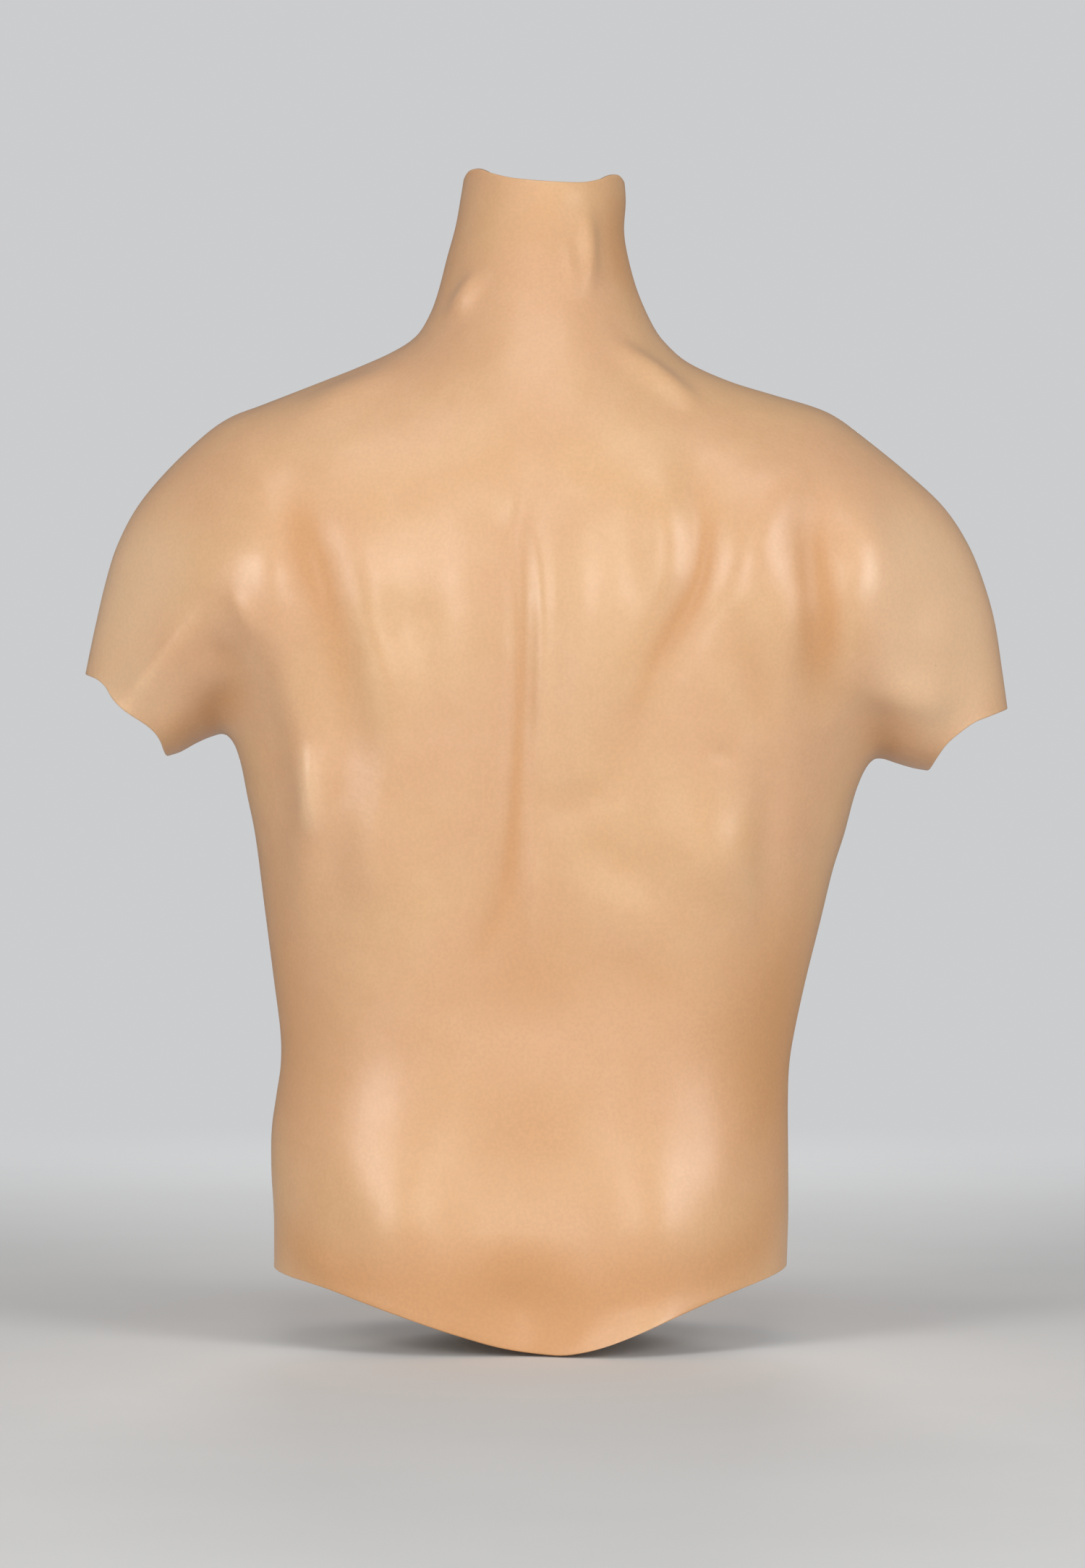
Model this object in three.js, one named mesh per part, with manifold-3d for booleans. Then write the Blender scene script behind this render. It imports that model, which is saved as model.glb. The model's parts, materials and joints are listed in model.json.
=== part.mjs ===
// Torso of a body opponent mannequin: a moulded vinyl skin over a foam core, which sits on a stand
// pole by a socket. Millimetres. +X is the mannequin's left, +Y its back, +Z up. The origin is the
// centre of the socket's mouth, on the underside of the socket collar.
import * as THREE from 'three';
import Module from 'manifold-3d';
import { mergeVertices } from 'three/addons/utils/BufferGeometryUtils.js';

const wasm = await Module();
wasm.setup();

// ---------- driving dimensions ----------
const SKIN = 5; // wall of the vinyl skin
const GAP = 0.6; // between the skin and what fills it
const RIM_RECESS = 13; // from a rim to the end plug inside it
const END_PLUG = 4; // thickness of an end plug
const END_GAP = 1.2; // between an end plug and the foam

const PLATE_BOTTOM = 8;
const PLATE_TOP = 20;
const FOAM_BOTTOM = PLATE_TOP + GAP;

const TUBE_OUTER = 57; // radii of the socket tube
const TUBE_INNER = 51;
const TUBE_BOTTOM = PLATE_BOTTOM + 0.3;
const TUBE_TOP = 396;
const COLLAR_RADIUS = 82;
const COLLAR_THICK = PLATE_BOTTOM - 0.3;
const PIN_RADIUS = 6;
const PIN_HEIGHT = 330;
const PIN_HALF_LENGTH = 66;

const SCREW_COUNT = 6;
const SCREW_CIRCLE = 69; // radius of the circle that the screws stand on
const SCREW_RADIUS = 2.8;
const SCREW_TIP = 17;
const HEAD_RADIUS = 6;
const HEAD_HEIGHT = 3.4;

// How far the body swells from its outline: EDGE is the distance over which the section rounds.
const EDGE = 110;
const ARM_DEPTH = 80; // full swell at the end of an arm
const ARM_START = 150; // |x| where the trunk's depth begins to fade into the arm's
const ARM_END = 270;

// Depth profiles of the trunk and neck, as [height, value]: the middle plane, back and front.
const MIDDLE = [[-80, 0], [100, -3], [300, -2], [440, -3], [520, -9], [580, -20], [660, -38]];
const BACK = [[-80, 99], [0, 97], [60, 90], [115, 86], [190, 92], [290, 104], [380, 112],
  [450, 105], [510, 93], [560, 84], [660, 80]];
const FRONT = [[-80, 90], [0, 94], [100, 90], [200, 97], [300, 110], [380, 116], [440, 106],
  [500, 92], [560, 84], [660, 80]];

// ---------- outline of the torso, as [x, z], seen along Y ----------
// Outer sides run from the neck rim over the shoulder to the end of the arm. Inner sides run from
// the end of the arm through the armpit to the hem.
const OUTER_LEFT = [[45, 647.5], [46.9, 635], [50, 617], [55, 598], [60.5, 576], [66, 561], [74, 548.5],
  [88, 539], [110, 529], [138, 517.8], [168, 506], [186, 499], [202, 488], [225, 466], [243, 444],
  [255, 421], [262, 399], [269, 369], [274.6, 342]];
const LEFT_NECK = 6; // indices of the neck base and the shoulder in the outer sides
const LEFT_SHOULDER = 10;
const OUTER_RIGHT = [[-54, 645.5], [-54.7, 633], [-53.6, 615], [-56, 598], [-62, 576], [-71.5, 554.5],
  [-80, 543], [-93, 532], [-117, 521], [-143, 512.8], [-168, 505.3], [-182, 499], [-197, 488],
  [-224, 466], [-247, 444.5], [-262, 422], [-271.5, 399], [-278.5, 374], [-283, 345],
  [-286.4, 321]];
const RIGHT_NECK = 5;
const RIGHT_SHOULDER = 10;
const INNER_LEFT = [[225.3, 292.4], [217, 295], [208, 300], [199, 304], [190.5, 305.8],
  [184.5, 300.5], [180, 288], [176, 268], [171, 243], [165.5, 200], [160, 157], [156, 125],
  [155.8, 105], [158.5, 86], [161.3, 65], [161.4, 40], [159.9, 14], [159.8, -18]];
const LEFT_ARMPIT = 4; // index of the armpit in the inner sides
const INNER_RIGHT = [[-238.5, 283.6], [-229, 285.2], [-219.5, 288], [-210, 290.9],
  [-204, 289.6], [-198.5, 282], [-193, 267.5], [-187, 245], [-180, 223], [-172.5, 192],
  [-164, 158], [-156.8, 125], [-153.6, 104], [-152.8, 80], [-153, 45], [-153, 14],
  [-152, -17]];
const RIGHT_ARMPIT = 3;
const NECK_RIM = [[45, 647.5], [41.5, 650.2], [35.5, 650], [27, 646.2], [14, 642.2],
  [-6, 639.8], [-26, 639.7], [-38, 642.6], [-45, 646.3], [-50.5, 647.5], [-54, 645.5]];
const LEFT_CUT = [[225.3, 292.4], [227, 300.8], [231.5, 308], [241.5, 317.4], [252.5, 326],
  [259.5, 334], [266, 338.7], [274.6, 342]];
const RIGHT_CUT = [[-238.5, 283.6], [-241.5, 290.5], [-246.3, 298.3], [-253, 304.8],
  [-263, 312], [-273.5, 316.3], [-286.4, 321]];
const HEM = [[159.8, -18], [148, -20], [135, -22], [117, -26.5], [83, -37.5], [48, -49],
  [19, -57], [-9, -60.5], [-26, -59], [-47, -53], [-82, -39], [-116, -26.5], [-152, -17]];

// Number of cells across each stretch of the outline.
const SHOULDER_CELLS = 5;
const NECK_CELLS = 8;
const ARMHOLE_CELLS = 8;
const TRUNK_ROWS = 10;
const NECK_ROWS = 4;
const ARM_ROWS = 3;

// ---------- small helpers ----------
const mix = (a, b, t) => a + (b - a) * t;
const smoothStep = THREE.MathUtils.smoothstep;
const steps = (count) => Array.from({ length: count + 1 }, (_, k) => k / count);
const denseAtStart = (count) => steps(count).map((t) => 1 - Math.cos((t * Math.PI) / 2));
const denseAtEnd = (count) => steps(count).map((t) => Math.sin((t * Math.PI) / 2));
const denseAtBoth = (count) => steps(count).map((t) => (1 - Math.cos(t * Math.PI)) / 2);

/** The value of a profile of [height, value] knots, joined by a smooth curve. */
function profile(knots, height) {
  const last = knots.length - 1;
  let k = 0;
  while (k < last - 1 && height > knots[k + 1][0]) k += 1;
  const slope = (i) => {
    const before = knots[Math.max(i - 1, 0)];
    const after = knots[Math.min(i + 1, last)];
    return (after[1] - before[1]) / (after[0] - before[0]);
  };
  const span = knots[k + 1][0] - knots[k][0];
  const t = THREE.MathUtils.clamp((height - knots[k][0]) / span, 0, 1);
  const a = (1 + 2 * t) * (1 - t) ** 2 * knots[k][1] + t * (1 - t) ** 2 * span * slope(k);
  const b = t * t * (3 - 2 * t) * knots[k + 1][1] - t * t * (1 - t) * span * slope(k + 1);
  return a + b;
}

/** Close points along a smooth curve through control points, between two of them. */
function trace(controls, from = 0, to = controls.length - 1) {
  const curve = new THREE.SplineCurve(controls.map(([x, z]) => new THREE.Vector2(x, z)));
  const pieces = 16 * Math.abs(to - from);
  return steps(pieces).map((t) => curve.getPoint(mix(from, to, t) / (controls.length - 1)));
}

/** Points of a traced line at the given fractions of its length. */
function spread(line, fractions) {
  const along = [0];
  for (let k = 1; k < line.length; k += 1) along.push(along[k - 1] + line[k].distanceTo(line[k - 1]));
  const total = along[along.length - 1];
  return fractions.map((fraction) => {
    let k = 1;
    while (k < line.length - 1 && along[k] < fraction * total) k += 1;
    const t = (fraction * total - along[k - 1]) / (along[k] - along[k - 1]);
    return line[k - 1].clone().lerp(line[k], t);
  });
}

const lengthOf = (line) => line.slice(1).reduce((sum, p, k) => sum + p.distanceTo(line[k]), 0);

/** Where a line that runs downwards passes a height. */
function atHeight(line, z) {
  const k = line.findIndex((p) => p.y <= z);
  return line[k - 1].clone().lerp(line[k], (line[k - 1].y - z) / (line[k - 1].y - line[k].y));
}

// ---------- the swell of the body ----------
const SIDES = [OUTER_LEFT, OUTER_RIGHT, INNER_LEFT, INNER_RIGHT].map((controls) => trace(controls));

function distanceToLine(line, point) {
  const closest = new THREE.Vector3();
  const target = new THREE.Vector3(point.x, point.y, 0);
  const segment = new THREE.Line3();
  let best = Infinity;
  for (let k = 1; k < line.length; k += 1) {
    segment.start.set(line[k - 1].x, line[k - 1].y, 0);
    segment.end.set(line[k].x, line[k].y, 0);
    segment.closestPointToPoint(target, true, closest);
    best = Math.min(best, closest.distanceTo(target));
  }
  return best;
}

/** 0 on the outline, 1 well inside it, round in between. */
function swell(point) {
  const product = SIDES.reduce((value, line) => {
    const inward = Math.min(distanceToLine(line, point) / EDGE, 1);
    return value * (1 - (1 - inward) ** 2);
  }, 1);
  return Math.sqrt(Math.max(product, 0));
}

/** The y of the back (side 1) or the front (side -1) of the body over a point of the outline. */
function surfaceY(point, side) {
  const arm = smoothStep(Math.abs(point.x), ARM_START, ARM_END);
  const depth = mix(profile(side > 0 ? BACK : FRONT, point.y), ARM_DEPTH, arm);
  return profile(MIDDLE, point.y) + side * depth * swell(point);
}

// ---------- the lattice of cells that the outline is filled with ----------
const points = []; // Vector2 of x and z
const onSide = []; // whether the point lies on the outline's sides, where back and front meet
const level = []; // whether the point keeps its height when the surface is moved inwards
const cells = []; // { corners, part }
const pointIndex = new Map();

function pointNumber(point) {
  const key = `${Math.round(point.x * 50)},${Math.round(point.y * 50)}`;
  if (!pointIndex.has(key)) {
    pointIndex.set(key, points.length);
    points.push(point);
    onSide.push(swell(point) < 0.01);
    level.push(false);
  }
  return pointIndex.get(key);
}

/** Fills four edges with a grid. bottom and top run the same way, and so do left and right. */
function fill(bottom, top, left, right, partOfRow) {
  const fractions = (line) => {
    const total = lengthOf(line);
    return line.map((_, k) => lengthOf(line.slice(0, k + 1)) / total);
  };
  const across = fractions(bottom).map((f, i) => (f + fractions(top)[i]) / 2);
  const up = fractions(left).map((f, j) => (f + fractions(right)[j]) / 2);
  const at = (i, j, axis) => {
    const [u, v] = [across[i], up[j]];
    const sides = mix(left[j][axis], right[j][axis], u) + mix(bottom[i][axis], top[i][axis], v);
    const lower = mix(bottom[0][axis], bottom[bottom.length - 1][axis], u);
    const upper = mix(top[0][axis], top[top.length - 1][axis], u);
    return sides - mix(lower, upper, v);
  };
  const number = up.map((_, j) => across.map((__, i) => (
    pointNumber(new THREE.Vector2(at(i, j, 'x'), at(i, j, 'y'))))));
  for (let j = 0; j < up.length - 1; j += 1) {
    for (let i = 0; i < across.length - 1; i += 1) {
      const corners = [number[j][i], number[j][i + 1], number[j + 1][i + 1], number[j + 1][i]];
      cells.push({ corners, part: partOfRow(j) });
    }
  }
  return number;
}

const straight = (from, to, fractions) => fractions.map((t) => from.clone().lerp(to, t));

/** Fractions of a line that ends at a rim: even rows, then the faces of the plug inside the rim. */
function rowsToRim(line, rows) {
  const total = lengthOf(line);
  const foamEnd = total - RIM_RECESS - END_PLUG - END_GAP;
  const fractions = steps(rows).map((t) => (t * foamEnd) / total);
  return [...fractions, 1 - (RIM_RECESS + END_PLUG) / total, 1 - RIM_RECESS / total, 1];
}

function buildLattice() {
  const sideLeft = trace(INNER_LEFT, LEFT_ARMPIT);
  const sideRight = trace(INNER_RIGHT, RIGHT_ARMPIT);
  const armpitLeft = sideLeft[0];
  const armpitRight = sideRight[0];
  const shoulderColumns = denseAtStart(SHOULDER_CELLS);

  // Columns of the trunk, from the left side to the right: shoulder, neck, shoulder.
  const neckLeft = new THREE.Vector2(...OUTER_LEFT[LEFT_NECK]);
  const neckRight = new THREE.Vector2(...OUTER_RIGHT[RIGHT_NECK]);
  const shareOf = (x) => (armpitLeft.x - x) / (armpitLeft.x - armpitRight.x);
  const [shareLeft, shareRight] = [shareOf(neckLeft.x), shareOf(neckRight.x)];
  const columns = [
    ...shoulderColumns.map((t) => t * shareLeft),
    ...denseAtBoth(NECK_CELLS).slice(1).map((t) => mix(shareLeft, shareRight, t)),
    ...denseAtEnd(SHOULDER_CELLS).slice(1).map((t) => mix(shareRight, 1, t)),
  ];
  const armpitLine = straight(armpitLeft, armpitRight, columns);

  // Skirt and plate: from the hem up to the foot of the foam.
  const heights = [-4, PLATE_BOTTOM, PLATE_TOP, FOAM_BOTTOM];
  const lowLeft = [sideLeft[sideLeft.length - 1], ...heights.map((z) => atHeight(sideLeft, z))];
  const lowRight = [sideRight[sideRight.length - 1], ...heights.map((z) => atHeight(sideRight, z))];
  const foamLine = straight(lowLeft[4], lowRight[4], columns);
  const lowParts = ['skirt', 'skirt', 'plate', 'joint'];
  const low = fill(spread(trace(HEM), columns), foamLine, lowLeft, lowRight, (j) => lowParts[j]);
  low.slice(2).forEach((row, k) => row.forEach((number) => {
    points[number].y = heights[k + 1];
    level[number] = true;
  }));

  // Trunk: from the foot of the foam to the line between the armpits.
  const rows = steps(TRUNK_ROWS);
  const above = (line) => [...line.filter((p) => p.y > FOAM_BOTTOM), atHeight(line, FOAM_BOTTOM)];
  const trunkLeft = spread(above(sideLeft).reverse(), rows);
  const trunkRight = spread(above(sideRight).reverse(), rows);
  fill(foamLine, armpitLine, trunkLeft, trunkRight, () => 'trunk');

  // Chest: from the line between the armpits to the shoulders and the base of the neck.
  const shoulderLeft = trace(OUTER_LEFT, LEFT_SHOULDER, LEFT_NECK);
  const shoulderRight = trace(OUTER_RIGHT, RIGHT_NECK, RIGHT_SHOULDER);
  const neckLine = straight(neckLeft, neckRight, denseAtBoth(NECK_CELLS));
  const chestTop = [
    ...spread(shoulderLeft, shoulderColumns),
    ...neckLine.slice(1, -1),
    ...spread(shoulderRight, denseAtEnd(SHOULDER_CELLS)),
  ];
  const armhole = denseAtBoth(ARMHOLE_CELLS);
  const armholeLeft = straight(armpitLeft, chestTop[0], armhole);
  const armholeRight = straight(armpitRight, chestTop[chestTop.length - 1], armhole);
  fill(armpitLine, chestTop, armholeLeft, armholeRight, () => 'chest');

  // Neck and arms: each ends at its rim.
  const rimPart = (name, mainRows) => (j) => {
    if (j === mainRows + 1) return `${name}_end_plug`;
    return j < mainRows ? name : `${name}_rim`;
  };
  const upTo = (line, mainRows) => spread(line, rowsToRim(line, mainRows));
  fill(
    neckLine,
    spread(trace(NECK_RIM), denseAtBoth(NECK_CELLS)),
    upTo(trace(OUTER_LEFT, LEFT_NECK, 0), NECK_ROWS),
    upTo(trace(OUTER_RIGHT, RIGHT_NECK, 0), NECK_ROWS),
    rimPart('neck', NECK_ROWS),
  );
  fill(
    armholeLeft,
    spread(trace(LEFT_CUT), armhole),
    upTo(trace(INNER_LEFT, LEFT_ARMPIT, 0), ARM_ROWS),
    upTo(trace(OUTER_LEFT, LEFT_SHOULDER), ARM_ROWS),
    rimPart('left_arm', ARM_ROWS),
  );
  fill(
    armholeRight,
    spread(trace(RIGHT_CUT), armhole),
    upTo(trace(INNER_RIGHT, RIGHT_ARMPIT, 0), ARM_ROWS),
    upTo(trace(OUTER_RIGHT, RIGHT_SHOULDER), ARM_ROWS),
    rimPart('right_arm', ARM_ROWS),
  );

  // Every cell runs the same way round, seen from the back.
  cells.forEach((cell) => {
    const [a, b, c, d] = cell.corners.map((number) => points[number]);
    const turn = c.clone().sub(a).cross(d.clone().sub(b));
    if (turn > 0) cell.corners.reverse();
  });
}

// ---------- solids from the lattice ----------
const SURFACE = { back: [], front: [] }; // a point in space over each lattice point
const NORMAL = { back: [], front: [] }; // the outward normal there

function measureSurface() {
  for (const [name, side] of [['back', 1], ['front', -1]]) {
    SURFACE[name] = points.map((p, k) => (
      new THREE.Vector3(p.x, onSide[k] ? profile(MIDDLE, p.y) : surfaceY(p, side), p.y)));
    NORMAL[name] = points.map(() => new THREE.Vector3());
    cells.forEach(({ corners }) => {
      const [a, b, c, d] = corners.map((number) => SURFACE[name][number]);
      const face = c.clone().sub(a).cross(d.clone().sub(b)).multiplyScalar(side);
      corners.forEach((number) => NORMAL[name][number].add(face));
    });
  }
  points.forEach((_, k) => {
    if (onSide[k]) {
      NORMAL.back[k].add(NORMAL.front[k]);
      NORMAL.front[k].copy(NORMAL.back[k]);
    }
    for (const name of ['back', 'front']) {
      if (level[k]) NORMAL[name][k].z = 0;
      NORMAL[name][k].normalize();
    }
  });
}

/** Collects triangles over lattice points, moved inwards by a distance. */
class Shell {
  constructor() {
    this.position = [];
    this.index = [];
    this.known = new Map();
  }

  vertex(number, name, inward) {
    const key = `${number},${onSide[number] ? 'both' : name},${inward}`;
    if (!this.known.has(key)) {
      this.known.set(key, this.position.length / 3);
      const place = SURFACE[name][number].clone().addScaledVector(NORMAL[name][number], -inward);
      this.position.push(place.x, place.y, place.z);
    }
    return this.known.get(key);
  }

  quad(a, b, c, d) {
    for (const corners of [[a, b, c], [a, c, d]]) {
      if (new Set(corners).size === 3) this.index.push(...corners);
    }
  }

  /** The back and front sheets of some cells, all split along the same diagonal. */
  sheets(chosen, inward, facesInwards) {
    chosen.forEach(({ corners }) => {
      for (const name of ['back', 'front']) {
        const [a, b, c, d] = corners.map((number) => this.vertex(number, name, inward));
        if ((name === 'front') !== facesInwards) this.quad(a, d, c, b);
        else this.quad(a, b, c, d);
      }
    });
  }

  geometry() {
    const geometry = new THREE.BufferGeometry();
    geometry.setAttribute('position', new THREE.Float32BufferAttribute(this.position, 3));
    geometry.setIndex(this.index);
    return geometry;
  }
}

/** Edges that only one of the chosen cells has, and that aren't on the outline's sides. */
function openEdges(chosen) {
  const edges = new Map();
  chosen.forEach(({ corners }) => corners.forEach((from, k) => {
    const to = corners[(k + 1) % 4];
    if (!edges.delete(`${to},${from}`)) edges.set(`${from},${to}`, [from, to]);
  }));
  return [...edges.values()].filter(([from, to]) => !(onSide[from] && onSide[to]));
}

/** A solid that fills the body over some cells, below a distance from its surface. */
function filling(chosen, inward) {
  const shell = new Shell();
  shell.sheets(chosen, inward, false);
  openEdges(chosen).forEach(([from, to]) => {
    const edge = ['back', 'front'].map((name) => (
      [shell.vertex(from, name, inward), shell.vertex(to, name, inward)]));
    shell.quad(edge[0][1], edge[0][0], edge[1][0], edge[1][1]);
  });
  return shell.geometry();
}

/** A wall over some cells, open wherever the cells end away from the outline's sides. */
function wall(chosen, thickness) {
  const shell = new Shell();
  shell.sheets(chosen, 0, false);
  shell.sheets(chosen, thickness, true);
  openEdges(chosen).forEach(([from, to]) => {
    for (const name of ['back', 'front']) {
      const ends = name === 'back' ? [to, from] : [from, to];
      const outer = ends.map((number) => shell.vertex(number, name, 0));
      const inner = ends.map((number) => shell.vertex(number, name, thickness));
      shell.quad(outer[0], outer[1], inner[1], inner[0]);
    }
  });
  return shell.geometry();
}

// ---------- booleans ----------
function toSolid(geometry) {
  const bare = geometry.clone();
  bare.deleteAttribute('normal');
  bare.deleteAttribute('uv');
  const merged = mergeVertices(bare);
  return new wasm.Manifold(new wasm.Mesh({
    numProp: 3,
    vertProperties: new Float32Array(merged.attributes.position.array),
    triVerts: new Uint32Array(merged.index.array),
  }));
}

function cut(geometry, ...tools) {
  const solid = tools.reduce((left, tool) => left.subtract(toSolid(tool)), toSolid(geometry));
  const mesh = solid.getMesh();
  const result = new THREE.BufferGeometry();
  result.setAttribute('position', new THREE.Float32BufferAttribute(mesh.vertProperties, 3));
  result.setIndex([...mesh.triVerts]);
  return result;
}

// ---------- turned pieces ----------
/** A solid turned about Z from a profile of [radius, height]. */
function turned(outline, segments) {
  const lathe = outline.map(([radius, height]) => new THREE.Vector2(radius, height));
  return new THREE.LatheGeometry(lathe, segments).rotateX(Math.PI / 2);
}

/** A ring turned about Z: its profile closes on itself. */
const turnedRing = (outline, segments) => turned([...outline, outline[0]], segments);

const rod = (radius, bottom, top, segments) => (
  turned([[0, bottom], [radius, bottom], [radius, top], [0, top]], segments));

/** A rod along X between two places, at a height. */
const crossRod = (radius, from, to, height) => (
  rod(radius, from, to, SMALL).rotateY(Math.PI / 2).translate(0, 0, height));

const screwPlaces = Array.from({ length: SCREW_COUNT }, (_, k) => {
  const angle = ((k + 0.5) * 2 * Math.PI) / SCREW_COUNT;
  return [SCREW_CIRCLE * Math.cos(angle), SCREW_CIRCLE * Math.sin(angle)];
});
const atScrews = (geometry) => screwPlaces.map(([x, y]) => geometry.clone().translate(x, y, 0));

const BARREL_RADIUS = 4.6; // T-nut
const FLANGE_RADIUS = 9.5;
const FLANGE_THICK = 1.5;
const CLEAR = 0.4; // radial play round the fasteners
const SMALL = 16; // facets round a fastener
const LARGE = 48; // facets round the socket

function socketTube() {
  const tube = turnedRing([[TUBE_INNER, TUBE_BOTTOM], [TUBE_OUTER, TUBE_BOTTOM],
    [TUBE_OUTER, TUBE_TOP], [TUBE_INNER, TUBE_TOP]], LARGE);
  return cut(tube, crossRod(PIN_RADIUS + CLEAR, -TUBE_OUTER - 5, TUBE_OUTER + 5, PIN_HEIGHT));
}

function socketEndPlug() {
  const bodyRadius = TUBE_INNER - 1;
  const flangeBottom = TUBE_TOP + 0.3;
  return turned([[0, TUBE_TOP - 12], [bodyRadius, TUBE_TOP - 12], [bodyRadius, flangeBottom],
    [TUBE_OUTER, flangeBottom], [TUBE_OUTER, TUBE_TOP + 4], [0, TUBE_TOP + 4]], LARGE);
}

function pinCap(side) {
  const inner = TUBE_OUTER + 0.5;
  const outer = PIN_HALF_LENGTH + 3;
  const hole = crossRod(PIN_RADIUS + CLEAR, inner - 1, PIN_HALF_LENGTH + 0.4, PIN_HEIGHT);
  const cap = cut(crossRod(12, inner, outer, PIN_HEIGHT), hole);
  return side > 0 ? cap : cap.rotateZ(Math.PI);
}

function collar() {
  const lip = TUBE_INNER;
  const ring = turnedRing([[lip, 2], [lip + 2, 0], [COLLAR_RADIUS - 2, 0], [COLLAR_RADIUS, 2],
    [COLLAR_RADIUS, COLLAR_THICK], [lip, COLLAR_THICK]], LARGE);
  const sink = turned([[0, -1], [HEAD_RADIUS + CLEAR + 1, -1], [SCREW_RADIUS + CLEAR, HEAD_HEIGHT],
    [SCREW_RADIUS + CLEAR, COLLAR_THICK + 1], [0, COLLAR_THICK + 1]], SMALL);
  return cut(ring, ...atScrews(sink));
}

function collarScrew() {
  const screw = turned([[0, 0], [HEAD_RADIUS, 0], [SCREW_RADIUS, HEAD_HEIGHT - 0.2],
    [SCREW_RADIUS, SCREW_TIP - 1], [SCREW_RADIUS - 1, SCREW_TIP], [0, SCREW_TIP]], SMALL);
  const hexSocket = rod(2.2, -1, 2.2, 6);
  return cut(screw, hexSocket);
}

function tNut() {
  const bore = SCREW_RADIUS + CLEAR;
  const top = PLATE_TOP + 0.2 + FLANGE_THICK;
  return turnedRing([[bore, 11], [BARREL_RADIUS, 11], [BARREL_RADIUS, PLATE_TOP + 0.2],
    [FLANGE_RADIUS, PLATE_TOP + 0.2], [FLANGE_RADIUS, top], [bore, top]], SMALL);
}

function basePlate(chosen) {
  const bore = rod(TUBE_OUTER + CLEAR, PLATE_BOTTOM - 5, PLATE_TOP + 5, LARGE);
  const hole = rod(BARREL_RADIUS + CLEAR, PLATE_BOTTOM - 5, PLATE_TOP + 5, SMALL);
  return cut(filling(chosen, SKIN + 2 * GAP), bore, ...atScrews(hole));
}

function foamCore(chosen) {
  const bore = rod(TUBE_OUTER + GAP, FOAM_BOTTOM - 5, TUBE_TOP + 5, LARGE);
  const pocket = rod(FLANGE_RADIUS + 1, FOAM_BOTTOM - 5, PLATE_TOP + 3, SMALL);
  const pinRoom = crossRod(13, -PIN_HALF_LENGTH - 4, PIN_HALF_LENGTH + 4, PIN_HEIGHT);
  return cut(filling(chosen, SKIN + GAP), bore, pinRoom, ...atScrews(pocket));
}

// ---------- materials ----------
const finish = (color, roughness, metalness) => (
  new THREE.MeshStandardMaterial({ color, roughness, metalness }));
const VINYL = { color: 0xdcaf85, roughness: 0.42, metalness: 0 };
const FOAM = { color: 0xe6d9a8, roughness: 0.95, metalness: 0 };
const BLACK_PLASTIC = { color: 0x26262a, roughness: 0.6, metalness: 0 };
const PLYWOOD = { color: 0xc9a472, roughness: 0.75, metalness: 0 };
const STEEL = { color: 0xb4b6ba, roughness: 0.35, metalness: 1 };

const torso = new THREE.Group();

function add(name, geometry, look) {
  const mesh = new THREE.Mesh(geometry, finish(look.color, look.roughness, look.metalness));
  mesh.name = name;
  torso.add(mesh);
}

// ---------- assembly ----------
buildLattice();
measureSurface();
const cellsOf = (...parts) => cells.filter(({ part }) => parts.includes(part));

add('torso_skin', wall(cells, SKIN), VINYL);
add('foam_core', foamCore(cellsOf('trunk', 'chest', 'neck', 'left_arm', 'right_arm')), FOAM);
add('neck_end_plug', filling(cellsOf('neck_end_plug'), SKIN + GAP), VINYL);
add('arm_end_plug_left', filling(cellsOf('left_arm_end_plug'), SKIN + GAP), VINYL);
add('arm_end_plug_right', filling(cellsOf('right_arm_end_plug'), SKIN + GAP), VINYL);
add('base_plate', basePlate(cellsOf('plate')), PLYWOOD);
add('socket_collar', collar(), BLACK_PLASTIC);
add('socket_tube', socketTube(), BLACK_PLASTIC);
add('socket_end_plug', socketEndPlug(), BLACK_PLASTIC);
add('cross_pin', crossRod(PIN_RADIUS, -PIN_HALF_LENGTH, PIN_HALF_LENGTH, PIN_HEIGHT), STEEL);
add('pin_cap_left', pinCap(1), STEEL);
add('pin_cap_right', pinCap(-1), STEEL);
screwPlaces.forEach((_, k) => {
  add(`collar_screw_${k + 1}`, atScrews(collarScrew())[k], STEEL);
  add(`t_nut_${k + 1}`, atScrews(tNut())[k], STEEL);
});

export default torso;
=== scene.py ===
"""Looks of a body opponent mannequin's torso: moulded vinyl skin over foam, on a pole socket.

Metres, in the frame of the CAD part: +X is the mannequin's left, +Y its back, +Z up, and the origin
is the centre of the socket's mouth. Shapes are worked out in millimetres and scaled by MM.
"""
import itertools
import json
import math

import bmesh
import bpy
import numpy as np
from mathutils import Matrix, Vector


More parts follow.
